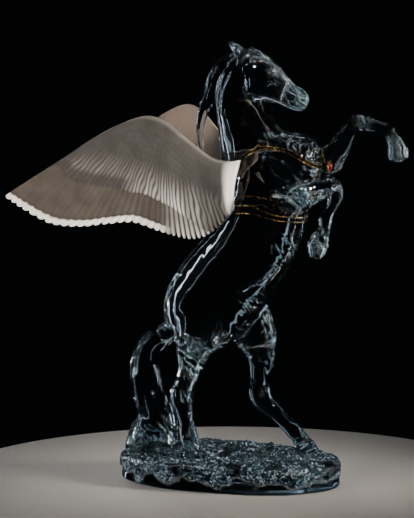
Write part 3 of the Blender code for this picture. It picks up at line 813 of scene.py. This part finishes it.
def with_frost_glint(frost_glint, mark, height):
    """The frost of painted glints, raised along a mark to its set whiteness times the mark's share of its
    full height.
    """
    return np.maximum(frost_glint, MARK_FROST_GLINT * np.clip(mark / height, 0, 1))


def make_horse(look):
    """The casting: tubes melted into one skin, then moved along its normals by all the marks."""
    parts = [TORSO, BREAST, NECK, HEAD, MANE, TAIL, RIGHT_FORELEG, LEFT_FORELEG, RIGHT_HINDLEG,
             LEFT_HINDLEG, RIGHT_EAR, LEFT_EAR]
    skin, points, normals = melted([limb(part) for part in parts])
    pull = strands(points, MANE, 5, 0.8, 0.05) + strands(points, TAIL, 5, 1.3, 0.045)
    frost_glint = np.zeros(len(points))
    for side in (1, -1):
        there = points * [1, side, 1]
        for place, radius, height in SWELLINGS:
            pull += swelling(there, place, radius, height)
        for path, width, height in LINES:
            mark = marked_line(there, path, width, height)
            pull += mark
            # Narrow, deep marks get painted glints along them.
            if width < FINE_MARK and abs(height) >= DEEP_MARK:
                frost_glint = with_frost_glint(frost_glint, mark, height)
    for path, width, height in ONE_SIDED_LINES:
        mark = marked_line(points, path, width, height)
        pull += mark
        if DEEP_MARK < -height < DEEPEST_FROST_GLINT:
            frost_glint = with_frost_glint(frost_glint, mark, height)
    for mark in CORONETS:
        pull += ring_mark(points, *mark)
    worked = np.clip(sum(swelling(points, place, radius, 1.3) for place, radius in CRINKLES), 0, 1)
    muzzle = np.clip(sum(swelling(points, place, radius, 1.6) for place, radius in MUZZLE_SWIRLS), 0, 1)
    for side in (1, -1):
        muzzle *= 1 - swelling(points * [1, side, 1], NOSTRIL, NOSTRIL_CLEARING, 1.0)
    pull += 0.10 * ripples(points, 17.0, 5)
    broad, fine = swirls(points, CRINKLE_SPACING, 21), swirls(points, MUZZLE_SWIRL_SPACING, 31)
    pull += worked * CRINKLE_HEIGHT * broad + muzzle * MUZZLE_SWIRL_HEIGHT * fine
    # Painted glints: white frost on the crests of the broad swirls, broken into patches, and on the crests
    # of the fine ones.
    broken = np.clip(0.6 + ripples(points, 16.0, 41), 0, 1.4)
    broad_frost_glint = worked * FROST_GLINT * broken * np.clip(broad, 0, 1) ** 5 * step(worked, 0.6)
    frost_glint = np.maximum.reduce([frost_glint, broad_frost_glint, muzzle * MUZZLE_FROST_GLINT * np.clip(fine, 0, 1) ** 4])
    moved = points + normals * pull[:, None]
    low, high = np.array(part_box("horse")) / MM - [0, 0, BASE_TOP]
    moved[:, 0::2] = np.clip(moved[:, 0::2], low[0::2] + 0.1, high[0::2] - 0.1)
    skin.vertices.foreach_set("co", in_metres(moved).ravel())
    store(skin, "crinkle", np.maximum(worked, muzzle))
    store(skin, "frost_glint", frost_glint)
    skin.update()
    skin.shade_smooth()
    skin.materials.clear()
    skin.materials.append(look)
    skin.name = "horse_casting"
    piece = bpy.data.objects.new("horse_casting", skin)
    bpy.context.collection.objects.link(piece)
    finish = piece.modifiers.new("polish", "SMOOTH")
    finish.iterations = 1
    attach(piece, "root")
    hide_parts("horse")
    return piece


def along_edge(edge, s):
    """Points on a wing's edge, s from root to tip."""
    points = curve_through(edge, 16)
    place = s * (len(points) - 1)
    return np.column_stack([np.interp(place, np.arange(len(points)), points[:, i]) for i in range(3)])


def step(at, width=1.0):
    """A smooth step from 0 to 1 as at goes from 0 to the width."""
    x = np.clip(at / width, 0, 1)
    return x * x * (3 - 2 * x)


def wing_plate(u, t, rooty):
    """The right wing without its relief: the middle of the plate, its thickness and each feather's length.

    A feather is a straight line from the front edge to the back edge, cut short by a notch beside its
    tip. The plate bows inwards by half a sine wave down the feather. Its thickness is the arm's, which
    tapers outwards and swells at the root, times the section.
    """
    front = along_edge(LEADING_EDGE, read_off(FEATHER_BASES, u[:, 0]))[:, None]
    back = along_edge(TRAILING_EDGE, u[:, 0])[:, None]
    length = np.linalg.norm(back - front, axis=2)
    f = (u * FEATHERS) % 1.0
    notch = FEATHER_NOTCH + (ROOT_NOTCH - FEATHER_NOTCH) * rooty
    notch = notch * (1 + 0.25 * np.sin(17.0 * u + 3.0 * np.sin(41 * u)))
    tip = np.minimum(np.abs(2 * f - 0.85) ** (2.4 - rooty), 1)
    reach = t * (1 - notch / length * tip * np.clip((t - 0.75) / 0.25, 0, 1) ** 3)
    middle = front + (back - front) * reach[..., None]
    middle[..., 1] -= WING_CAMBER * np.sin(np.pi * t) * (1 - 0.7 * u)
    arm = WING_ARM_THICKNESS * read_off(ARM_TAPER, u)
    swell = read_off(ROOT_SWELL, u)
    arm = arm + (WING_ROOT_THICKNESS - arm) * swell
    thick = WING_EDGE_THICKNESS + (arm - WING_EDGE_THICKNESS) * read_off(WING_SECTION, t)
    return middle, np.maximum(thick, WING_ROOT_THICKNESS * 0.7 * swell), length


def feather_waves(u, t, length):
    """The waves that shape and colour the feathers, each over the whole grid.

    flight arches over each flight feather, with a low shaft, and blade is a plainer arch. crest is the
    size of a sine whose lines waver, covert is 1 where the outer layer lies and dark_hem where that
    layer is plain, and grow is how far the ridges have risen. ridges is each ridge's own strength, and
    scale the small scales, in staggered rows, that the ridges take over from. lining is 1 where the
    inner layer lies, rising is how far its ribs have risen, and rib is their height.
    """
    f = (u * FEATHERS) % 1.0
    waver = 0.16 * np.sin(11 * t + 31 * u) + 0.10 * np.sin(23 * t + 83 * u)
    waver = waver + 0.06 * np.sin(61 * u * (1 + t))
    lines = FEATHERS * (u + 0.3 * np.clip(u - OUTER_WING, 0, 1))
    crest = np.abs(np.sin(np.pi * (lines + waver * step(0.97 - t, 0.25)))) ** 0.75
    grow = step(t - read_off(RIDGE_START, u), 0.22)
    dark_hem = step(u - 0.58, 0.08) * step(t - read_off(COVERT_REACH, u) + 0.13, 0.06)
    strong = np.random.default_rng(5).uniform(0.45, 1.1, RIDGES)
    strength = np.interp(lines + 0.5, np.arange(RIDGES), strong)
    rows = t * length / SCALE_ROW + 0.35 * np.sin(19 * u) + 0.2 * np.sin(47 * u)
    beside = lines * 0.62 + 0.5 * (np.floor(rows) % 2)
    shaft = 0.25 * np.exp(-(((f - 0.45) / 0.09) ** 2))
    rising = step(t - 0.12, 0.25)
    return SimpleNamespace(
        crest=crest, grow=grow, dark_hem=dark_hem, rising=rising,
        covert=step(read_off(COVERT_REACH, u) + 0.012 * (crest - 0.5) - t, 0.014),
        ridges=grow * (1 - 0.85 * dark_hem) * strength,
        scale=(rows % 1.0) ** 1.5 * (1 - np.abs(2 * (beside % 1.0) - 1) ** 2.5),
        flight=0.7 * np.sin(np.pi * f) ** 0.8 + 0.3 * (1 - f) + shaft,
        blade=np.sin(np.pi * f) ** 1.5,
        lining=step(LINING_REACH + 0.05 * np.sin(9 * u) + 0.03 * (crest - 0.5) - t, 0.02),
        rib=strength * crest * rising)


def wing_zones(u, t, from_tip, rooty, wave):
    """What the material reads, from 0 to 1, on the outer and on the inner skin: (outside, inside).

    The pale zone is near-white painted highlight: the hem, as if lit from below, the root's band, as if its
    face were lit, the upper rim, the ridges' crests and the root feathers' middles. The dark zone is painted
    shade: the furrows between them, a painted shadow line over the hem, and a darker band where the covert
    is plain. The inner skin is all warm, painted lighter as if in warm light, with painted shade towards the
    root, in the dips of its lining and between its feathers.
    """
    covert, ridges, crest, blade = wave.covert, wave.ridges, wave.crest, wave.blade
    # Painted highlight: a near-white hem along the tips, as if lit from below.
    pale = step(PALE_EDGE - from_tip, 2.2) * step(u - OUTER_WING, 0.10)
    # Painted highlight: the root's band, pale as if its face were lit.
    root = step(ROOT_BAND - u, 0.045)
    # Painted highlights on the ridges' crests, strongest in one window, and on the root feathers' middles.
    here = 0.16 + 0.84 * np.exp(-(((u - 0.40) / 0.15) ** 2)) * np.exp(-(((t - 0.76) / 0.17) ** 2))
    streak = covert * ridges * crest**2 * here
    streak = streak + (1 - covert) * rooty * (0.35 + 0.4 * step(t - 0.8, 0.2)) * blade
    # A faint painted highlight along the upper rim.
    rim = 0.10 * step(0.035 - t, 0.03)
    thin = np.clip(np.maximum.reduce([pale, root + 0 * t, streak, rim + 0 * u]), 0, 1)
    # A painted shadow line just over the hem.
    shadow_over_hem = np.exp(-(((from_tip - PALE_EDGE - 1.2) / 1.8) ** 2)) * step(u - OUTER_WING, 0.10)
    # Painted shade in the furrows between the ridges and between the root feathers.
    furrows = (covert * ridges * (1 - crest) + (1 - covert) * rooty * (1 - blade) * 0.6) * 0.8
    painted_shade = np.clip(np.maximum.reduce([0.45 * shadow_over_hem, 0.40 * covert * wave.dark_hem, furrows]), 0, 1)
    # Painted shade on the inner skin: in the dips of its lining and between its feathers.
    hollow_shade = 0.5 * wave.lining * (1 - crest) * wave.rising + 0.35 * (1 - wave.lining) * (1 - blade)
    # Inner skin: painted highlight at the tips, painted shade towards the root, and painted warm light all
    # over.
    inside = {"thin": np.clip(thin * (t > 0.8) * (u > 0.2), 0, 1), "covert": 0 * thin,
              "painted_shade": np.maximum(0.9 * step(OUTER_WING - u, 0.18), hollow_shade), "warm": 1 + 0 * thin}
    return {"thin": thin, "covert": covert, "painted_shade": painted_shade, "warm": 0 * thin}, inside


def wing_skins():
    """The right wing's outer and inner skins, over feather position u and place t down the feather.

    Half the plate's thickness is added outwards and half inwards. Over that lie rounded flight feathers,
    each lapping the next, and on them the covert layer: rows of small scales that run out into long
    wavering ridges. The inner skin has a ribbed lining.
    """
    u = np.linspace(0, 1, FEATHERS * COLUMNS_PER_FEATHER + 1)[:, None]
    t = np.linspace(0, 1, WING_ROWS)[None]
    rooty = step(ROOT_FEATHERS_END - u, 0.12)
    middle, thick, length = wing_plate(u, t, rooty)
    wave = feather_waves(u, t, length)
    from_tip = (1 - t) * length
    layer = COVERT_STEP + RIDGE_HEIGHT * wave.ridges * wave.crest
    layer = layer + 0.25 * (1 - wave.grow) * wave.scale * step(u - 0.1, 0.2)
    relief = wave.covert * layer + (1 - wave.covert) * FEATHER_RELIEF * (0.8 + 0.9 * rooty) * wave.flight
    relief = relief * step(u, 0.05) * step(t, 0.03)
    bevel = np.clip(1 - from_tip / PALE_EDGE, 0, 1) * (1 - rooty)
    outer, inner = middle.copy(), middle.copy()
    outer[..., 1] -= thick / 2 + relief - 0.9 * bevel
    inner[..., 1] += thick / 2 + FEATHER_RELIEF * 1.1 * (wave.flight - 1) * step(t, 0.2)
    inner[..., 1] += LINING_STEP * wave.lining * (0.5 + wave.rib) * step(u, 0.08) * step(t, 0.1)
    return outer, inner, u * FEATHERS + 0 * t, t + 0 * u, *wing_zones(u, t, from_tip, rooty, wave)


def kept_off(skin_tree, outer, inner):
    """The root of the wing drawn off the horse: each point is moved outwards until it is a gap clear of
    the horse's skin, which is found by a ray across the horse, one point at a time."""
    columns = int(FEATHERS * COLUMNS_PER_FEATHER * WING_ROOT)
    for skin, clear in ((inner, INNER_GAP), (outer, OUTER_GAP)):
        for i in range(columns):
            for j in range(skin.shape[1]):
                x, _, z = in_metres(skin[i, j])
                hit = skin_tree.ray_cast(Vector((x, -0.4, z)), Vector((0, 1, 0)))[0]
                if hit:
                    skin[i, j, 1] = min(skin[i, j, 1], hit[1] / MM - clear)


def make_wing(name, node, side, skins, look):
    """One wing as a closed plate: outer skin, inner skin and a strip of quads round the edge."""
    outer, inner, across, down, outside, inside = skins
    columns, rows = outer.shape[:2]
    points = np.vstack([outer.reshape(-1, 3), inner.reshape(-1, 3)]) * [1, -side, 1]
    faces = grid_faces(columns, rows)
    second = faces[:, ::-1] + columns * rows
    i, j = np.arange(columns), np.arange(rows)
    border = np.concatenate([i * rows, (columns - 1) * rows + j[1:], i[-2::-1] * rows + rows - 1,
                             j[-2:0:-1]])
    after = np.roll(border, -1)
    strip = np.stack([border, after, after + columns * rows, border + columns * rows], axis=1)
    piece = new_piece(name, in_metres(points), np.vstack([faces, second, strip]), look, node)
    mesh = piece.data
    for key in outside:
        store(mesh, key, [outside[key], inside[key]])
    loops = np.empty(len(mesh.loops), int)
    mesh.loops.foreach_get("vertex_index", loops)
    pair = np.tile(np.column_stack([np.ravel(across), np.ravel(down)]), (2, 1))[loops]
    mesh.uv_layers.new(name="feather").data.foreach_set("uv", pair.ravel().astype(np.float32))
    return piece


def unlit_root(skins):
    """The same skins without the painted highlight of the root's band: it fades by a smooth step. The edges
    there, seen through the chest, get painted shade."""
    outer, inner, across, down, outside, inside = skins
    # The left root is not painted as lit: its band of painted highlight is taken off, and painted shade is
    # laid on its edges.
    root = step(0.16 - across / FEATHERS, 0.05)
    edge = ((across < 0.01) | (down < 0.015)) * root
    changed = {"thin": outside["thin"] * (1 - root), "painted_shade": np.maximum(outside["painted_shade"], edge)}
    return outer, inner, across, down, {**outside, **changed}, inside


def skin_tree_of(piece):
    """A search tree over the piece's surface as its modifiers leave it."""
    return BVHTree.FromObject(piece, bpy.context.evaluated_depsgraph_get())


def drawn_in(guide, skin_tree, steps):
    """The guide brought onto the horse's skin in even steps: points and outward normals, in metres."""
    line = curve_through(in_metres(guide), 20)
    for _ in range(SNAP_ROUNDS):
        line = np.array([skin_tree.find_nearest(Vector(p))[0] for p in line])
        line[1:-1] = (line[:-2] + 2 * line[1:-1] + line[2:]) / 4
    top, bottom = in_metres([LEADING_EDGE[0], TRAILING_EDGE[0]])
    root = np.interp(line[:, 2], [bottom[2], top[2]], [bottom[0], top[0]])
    line = line[line[:, 0] > root + 0.8 * MM]
    walked = np.concatenate([[0], np.cumsum(np.linalg.norm(np.diff(line, axis=0), axis=1))])
    even = np.linspace(0, walked[-1], steps)
    line = np.column_stack([np.interp(even, walked, line[:, i]) for i in range(3)])
    hits = [skin_tree.find_nearest(Vector(p)) for p in line]
    points, normals = np.array([hit[0] for hit in hits]), np.array([hit[1] for hit in hits])
    for _ in range(NORMAL_ROUNDS):
        normals[1:-1] = (normals[:-2] + 2 * normals[1:-1] + normals[2:]) / 4
    return points, unit(normals)


def laid(name, skin_tree, points, normals, profile, look, has_web=False):
    """A bar laid on the skin: each profile point is (across, height over the skin) in mm."""
    profile = np.array(profile) * MM
    along = unit(np.gradient(points, axis=0))
    across = unit(np.cross(along, normals))
    wide = points[:, None] + across[:, None] * profile[None, :, :1]
    seat = np.array([skin_tree.find_nearest(Vector(p))[0] for p in wide.reshape(-1, 3)])
    rings = seat.reshape(wide.shape) + normals[:, None] * profile[None, :, 1:]
    ends = rings[[0, -1]].mean(axis=1)
    bar = np.vstack([rings.reshape(-1, 3), ends])
    piece = new_piece(name + "_gilt", bar, tube_faces(len(points), len(profile)), look, name)
    web_edge = (STRAP_WIDTH / 2 - BEAD_DIAMETER * 0.85) * MM if has_web else 0
    web = np.abs(profile[:, 0]) < web_edge
    store(piece.data, "web", np.append(np.tile(web, len(points)), [0, 0]))
    return bar


def round_profile(diameter, sides):
    """A circle, as a cosine across and a sine upwards, that stands on the strap's seat."""
    turn = np.linspace(0, 2 * np.pi, sides, endpoint=False)
    return np.column_stack([np.cos(turn), 1 + np.sin(turn)]) * diameter / 2 + [0, STRAP_SEAT]


def strap_profile():
    """A flat strap between two round beads: a half circle, a low web and a half circle."""
    bead = BEAD_DIAMETER / 2
    turn = np.linspace(np.pi, 0, 7)
    left = np.column_stack([np.cos(turn) * bead - (STRAP_WIDTH / 2 - bead), bead + np.sin(turn) * bead])
    right = left * [-1, 1]
    web = np.array([(-1.0, 0.35), (0.0, 0.3), (1.0, 0.35)])
    feet = np.array([(STRAP_WIDTH / 2, 0.0), (0.0, 0.0), (-STRAP_WIDTH / 2, 0.0)])
    return np.vstack([left, web, right[::-1], feet]) + [0, STRAP_SEAT]


def mirrored(right):
    """A guide carried on round the front to the other side."""
    right = np.array(right, float)
    return np.vstack([right, right[::-1] * [1, -1, 1]])


def turned(name, node, profile, place, normal, look, sides=64):
    """A round piece: the (radius, height) profile turned about the normal at the place."""
    normal = np.array(normal, float)
    first = unit(np.cross(normal, [0.0, 1.0, 0.3]))
    second = np.cross(normal, first)
    turn = np.linspace(0, 2 * np.pi, sides, endpoint=False)
    spoke = first * np.cos(turn)[:, None] + second * np.sin(turn)[:, None]
    profile = np.array(profile) * MM
    rings = profile[:, None, :1] * spoke[None] + profile[:, None, 1:] * normal + place
    ends = [place + normal * profile[0, 1], place + normal * profile[-1, 1]]
    return new_piece(name, np.vstack([rings.reshape(-1, 3), ends]), tube_faces(len(profile), sides),
                     look, node)


def make_harness(skin_tree, gilt, ruby):
    """Breast strap, chest strap, two girth cords, and the stone in its rim on the breast strap.

    The rim sits along the normal at the strap's middle, a gap over the highest strap or skin under it.
    """
    line, normals = drawn_in(mirrored(BREAST_STRAP), skin_tree, BREAST_STEPS)
    bar = laid("breast_strap", skin_tree, line, normals, strap_profile(), gilt, True)
    laid("chest_strap", skin_tree, *drawn_in(CHEST_STRAP, skin_tree, CHEST_STEPS), strap_profile(), gilt,
         True)
    for name, guide in GIRTH_CORDS.items():
        laid(name, skin_tree, *drawn_in(mirrored(guide), skin_tree, GIRTH_STEPS),
             round_profile(CORD_DIAMETER, 12), gilt)
    middle, normal = line[BREAST_STEPS // 2], normals[BREAST_STEPS // 2]
    under = bar[np.linalg.norm(bar - middle, axis=1) < MEDALLION_RADIUS * 1.1 * MM]
    first = unit(np.cross(normal, [0.0, 1.0, 0.3]))
    turn = np.linspace(0, 2 * np.pi, 64)[:, None]
    spokes = first * np.cos(turn) + np.cross(normal, first) * np.sin(turn)
    ring = middle + 1.03 * MEDALLION_RADIUS * MM * spokes
    hits = [skin_tree.ray_cast(Vector(p + 0.02 * normal), Vector(-normal))[0] for p in ring]
    under = np.vstack([under, [hit for hit in hits if hit]])
    seat = middle + normal * (((under - middle) @ normal).max() + MEDALLION_GAP * MM)
    r, h = MEDALLION_RADIUS, MEDALLION_THICKNESS
    rim = [(r - 0.5, 0), (r, 0.5), (r, h * 0.55), (r - 0.6, h * 0.8), (r - 1.4, h), (r - 2.2, h * 0.86),
           (STONE_RADIUS + 0.5, h * 0.7), (STONE_RADIUS + 0.3, h * 0.45)]
    turned("medallion_gilt", "medallion", rim, seat, normal, gilt)
    arc = np.linspace(0, np.pi / 2, 12)[:-1]
    dome = [(STONE_RADIUS, 0.0)]
    dome += [(STONE_RADIUS * math.cos(a), 1.0 + STONE_HEIGHT * math.sin(a)) for a in arc]
    dome.append((0.05, 1.0 + STONE_HEIGHT))
    foot = seat + normal * (h * 0.5 * MM)
    turned("red_stone_cabochon", "red_stone", dome, foot, normal, ruby)


def oval(turn, length, width):
    """A rounded oval: powers of cosine and sine a little under 1, with a slight wander."""
    wander = 1 + 0.014 * np.sin(3 * turn + 0.6) + 0.009 * np.sin(7 * turn + 2.0)
    round_x = np.sign(np.cos(turn)) * np.abs(np.cos(turn)) ** 0.86
    round_y = np.sign(np.sin(turn)) * np.abs(np.sin(turn)) ** 0.92
    return np.stack([length / 2 * round_x * wander, width / 2 * round_y * wander], axis=-1)


def chips(points, size, seed):
    """Chipped facets: every point takes the height and the tilt of the nearest of some seeded centres."""
    pick = np.random.default_rng(seed)
    low, high = points.min(axis=0) - size, points.max(axis=0) + size
    count = int(np.prod((high - low)[:2]) / size**2 * (1.5 if high[2] - low[2] > size else 1))
    centres = pick.uniform(low, high, (count, 3))
    level, tilt = pick.uniform(-1, 1, count), pick.normal(0, 0.9 / size, (count, 3))
    heights = []
    for some in np.array_split(points, max(1, len(points) // 1500)):
        nearest = ((some[:, None] - centres[None]) ** 2).sum(axis=2).argmin(axis=1)
        heights.append(level[nearest] + ((some - centres[nearest]) * tilt[nearest]).sum(axis=1))
    return np.concatenate(heights)


def make_base(look):
    """The slab as rings of one oval from the underside up: a clear foot, a rough side, a rough top.

    The side bulges a little, the top is flat with slow waves and chipped facets, and it drops into
    shallow sockets round the hooves and the tail.
    """
    turn = np.linspace(0, 2 * np.pi, BASE_SECTORS, endpoint=False)
    outline = oval(turn, BASE_LENGTH, BASE_WIDTH)
    corner = np.linspace(0, np.pi / 2, 8)
    half_length, half_width, shoulder = BASE_LENGTH / 2, BASE_WIDTH / 2, BASE_TOP - EDGE_ROUNDING
    side = BASE_FOOT + [(0.985, h) for h in np.linspace(5, CLEAR_BAND - 1, 5)]
    side += [(0.985 + 0.013 * math.sin(a), h) for a, h in
             zip(np.linspace(0, np.pi / 2, SIDE_RINGS), np.linspace(CLEAR_BAND, shoulder, SIDE_RINGS))]
    side += [(0.998 - 0.07 * (1 - math.cos(a)), shoulder + 9.6 * math.sin(a)) for a in corner[1:]]
    top = [(share, BASE_TOP) for share in np.linspace(0.918, 0.004, TOP_RINGS)]
    share, height = np.array(side + top).T
    flat = outline[None] * share[:, None, None]
    points = np.dstack([flat, np.broadcast_to(height[:, None], flat.shape[:2])]).reshape(-1, 3)
    rough = np.clip((points[:, 2] - CLEAR_BAND + 2 + 2.6 * ripples(points * [1, 1, 0], 50, 3)
                     + 1.8 * ripples(points, 15, 4)) / 4, 0, 1)
    on_top = np.clip((points[:, 2] - (BASE_TOP - 9)) / 9, 0, 1)
    x, y = points[:, 0] * MM, points[:, 1] * MM
    slow = np.sin(130 * x + 1.0) * np.cos(110 * y) + 0.6 * np.sin(90 * y - 120 * x)
    edge = np.clip((1.0 - np.hypot(points[:, 0] / half_length, points[:, 1] / half_width)) * 12, 0.35, 1)
    chip = chips(points, CHIP_SIZE, 11) * CHIP_HEIGHT + 0.35 * ripples(points, 4.0, 7)
    outwards = unit(np.column_stack([points[:, 0] / half_length**2, points[:, 1] / half_width**2,
                                     np.zeros(len(points))]))
    points = points + outwards * (chip * rough * (1 - on_top) * 0.8)[:, None]
    points[:, 2] += on_top * (1.3 * slow + chip * rough * edge)
    for (cx, cy), (rx, ry) in SOCKETS:
        inside = ((points[:, 0] - cx) / rx) ** 2 + ((points[:, 1] - cy) / ry) ** 2 < 1
        sunk = inside & (on_top > 0.5)
        points[sunk, 2] = BASE_TOP - SOCKET_DEPTH
    ends = [[0, 0, 0], [0, 0, points[-BASE_SECTORS:, 2].mean()]]
    points[:, 2] = np.maximum(points[:, 2], 0)
    points = np.vstack([points, ends]) * MM
    faces = tube_faces(len(share), BASE_SECTORS)
    piece = new_piece("base_slab", points, faces, look, "base")
    store(piece.data, "rough", np.append(rough, [0, 1]))
    return piece


def make_floor():
    """A round board, 12 mm thick, that the statue stands on: a low profile turned about the middle.

    The glass neither mirrors it nor shows it through, so the glass stays dark.
    """
    turn = np.linspace(0, 2 * np.pi, 256, endpoint=False)
    spoke = np.column_stack([np.cos(turn), np.sin(turn), 0 * turn])
    profile = [(0.398, -0.012), (0.40, -0.010), (0.40, -0.0025), (0.398, -0.0008)]
    rings = np.concatenate([spoke * radius + [0, 0, height] for radius, height in profile])
    rings = np.vstack([rings, [[0, 0, -0.012], [0, 0, -0.0008]]])
    board = new_piece("floor_board", rings, tube_faces(len(profile), 256), floor_plaster(), None)
    board.visible_transmission = False
    board.visible_glossy = False


def soft_light(name, place, size, radiance, colour, shows_in, spread):
    """A rectangular soft light at a place, facing the statue, that the camera doesn't see.

    Its power is its radiance times its area times pi. Flags keep it off the glass or off the matt
    surfaces: shows_in is "glass", "matt" or "both".
    """
    lamp = bpy.data.lights.new(name, "AREA")
    lamp.shape = "RECTANGLE"
    lamp.size, lamp.size_y = size
    lamp.energy = radiance * math.pi * size[0] * size[1]
    lamp.color = linear(colour)[:3]
    lamp.spread = math.radians(spread)
    holder = bpy.data.objects.new(name, lamp)
    holder.location = place
    holder.rotation_euler = (Vector((-0.03, 0, 0.30)) - Vector(place)).to_track_quat("-Z", "Y").to_euler()
    holder.visible_camera = False
    holder.visible_glossy = shows_in != "matt"
    holder.visible_transmission = shows_in != "matt"
    holder.visible_diffuse = shows_in != "glass"
    bpy.context.collection.objects.link(holder)


def around(azimuth, distance, height):
    """A place at an azimuth counted from the camera's side of the statue, in metres."""
    a = math.radians(azimuth + CAMERA_AZIMUTH)
    return (distance * math.sin(a), -distance * math.cos(a), height)


# Each soft light is (name, azimuth, distance and height of its place, width and height in metres, radiance,
# colour, what it shows in, spread in degrees). Strips draw the glass's edges, sparkles are tiny, and the
# keys and the fill light the satin wings.
LIGHTS = [
    ("left_front_strip", (-74, 1.4, 0.45), (0.04, 1.2), 7.0, "#e4f2ff", "glass", 180),
    ("left_strip", (-98, 1.4, 0.45), (0.06, 1.2), 26.0, "#e4f2ff", "glass", 180),
    ("left_back_strip", (-124, 1.4, 0.45), (0.03, 1.2), 5.0, "#e4f2ff", "glass", 180),
    ("right_front_strip", (76, 1.4, 0.45), (0.04, 1.2), 7.0, "#e4f2ff", "glass", 180),
    ("right_strip", (100, 1.4, 0.45), (0.06, 1.2), 26.0, "#e4f2ff", "glass", 180),
    ("right_back_strip", (126, 1.4, 0.45), (0.03, 1.2), 6.0, "#e4f2ff", "glass", 180),
    ("broad_left", (-95, 1.6, 0.5), (1.1, 1.3), 0.14, "#9cc8da", "glass", 180),
    ("broad_right", (100, 1.6, 0.5), (1.1, 1.3), 0.14, "#9cc8da", "glass", 180),
    ("behind_above", (180, 1.0, 1.7), (1.1, 0.12), 3.5, "#e6f3ff", "both", 180),
    ("above", (0, 0.1, 1.9), (0.12, 0.9), 2.0, "#eef6ff", "both", 180),
    ("glow_left", (-150, 1.5, 0.35), (0.12, 0.9), 0.35, "#b4d0dc", "glass", 180),
    ("glow_right", (148, 1.5, 0.35), (0.12, 0.9), 0.35, "#b4d0dc", "glass", 180),
    ("sparkle_left", (-60, 1.5, 1.5), (0.08, 0.08), 350, "#ffffff", "glass", 180),
    ("sparkle_right", (35, 1.6, 1.1), (0.08, 0.08), 350, "#fff0da", "glass", 180),
    ("sparkle_low", (-125, 1.4, 0.15), (0.08, 0.08), 250, "#ffffff", "glass", 180),
    ("sparkle_front", (62, 1.5, 0.2), (0.07, 0.07), 250, "#fff0da", "glass", 180),
    ("wing_key", (-45, 1.8, 0.8), (0.5, 0.5), 1.9, "#fffaf5", "matt", 26),
    ("root_key", (72, 1.7, 0.7), (0.3, 0.3), 12.2, "#fff6ec", "matt", 26),
    ("back_fill", (195, 1.8, 0.8), (0.5, 0.5), 1.6, "#fffaf5", "matt", 26),
]
FLOOR_POOL_PLACE = (-0.05, 0.1, 1.6)


def make_studio():
    """A dark studio: the table's soft lights, and a faint pool of light on the floor."""
    world = bpy.data.worlds.new("dark_studio")
    world.use_nodes = True
    world.node_tree.nodes["Background"].inputs["Color"].default_value = linear("#050607")
    bpy.context.scene.world = world
    for name, place, *rest in LIGHTS:
        soft_light(name, around(*place), *rest)
    soft_light("floor_pool", FLOOR_POOL_PLACE, (0.5, 0.5), 0.03, "#f4f8ff", "matt", 50)


def make_camera():
    """The photograph's viewpoint: a long lens at its azimuth and elevation, aimed at one point."""
    a, e = math.radians(CAMERA_AZIMUTH), math.radians(CAMERA_ELEVATION)
    back = Vector((math.sin(a) * math.cos(e), -math.cos(a) * math.cos(e), math.sin(e)))
    lens = bpy.data.cameras.new("camera")
    lens.sensor_fit = "VERTICAL"
    lens.sensor_height = SENSOR_HEIGHT
    lens.lens = CAMERA_LENS
    lens.clip_end = 50
    camera = bpy.data.objects.new("camera", lens)
    camera.location = Vector(CAMERA_TARGET) + back * CAMERA_DISTANCE
    camera.rotation_euler = back.to_track_quat("Z", "Y").to_euler()
    bpy.context.collection.objects.link(camera)
    bpy.context.scene.camera = camera


def build():
    """Every piece, then the studio. The horse comes first, because the rest is fitted to its skin."""
    horse = make_horse(clear_cast_glass())
    tree = skin_tree_of(horse)
    satin = satin_glass()
    skins = wing_skins()
    kept_off(tree, skins[0], skins[1])
    make_wing("right_wing_satin", "right_wing", -1, skins, satin)
    make_wing("left_wing_satin", "left_wing", 1, unlit_root(skins), satin)
    make_harness(tree, gilt_brass(), red_glass())
    make_base(chipped_glass())
    make_floor()
    make_studio()
    make_camera()


build()
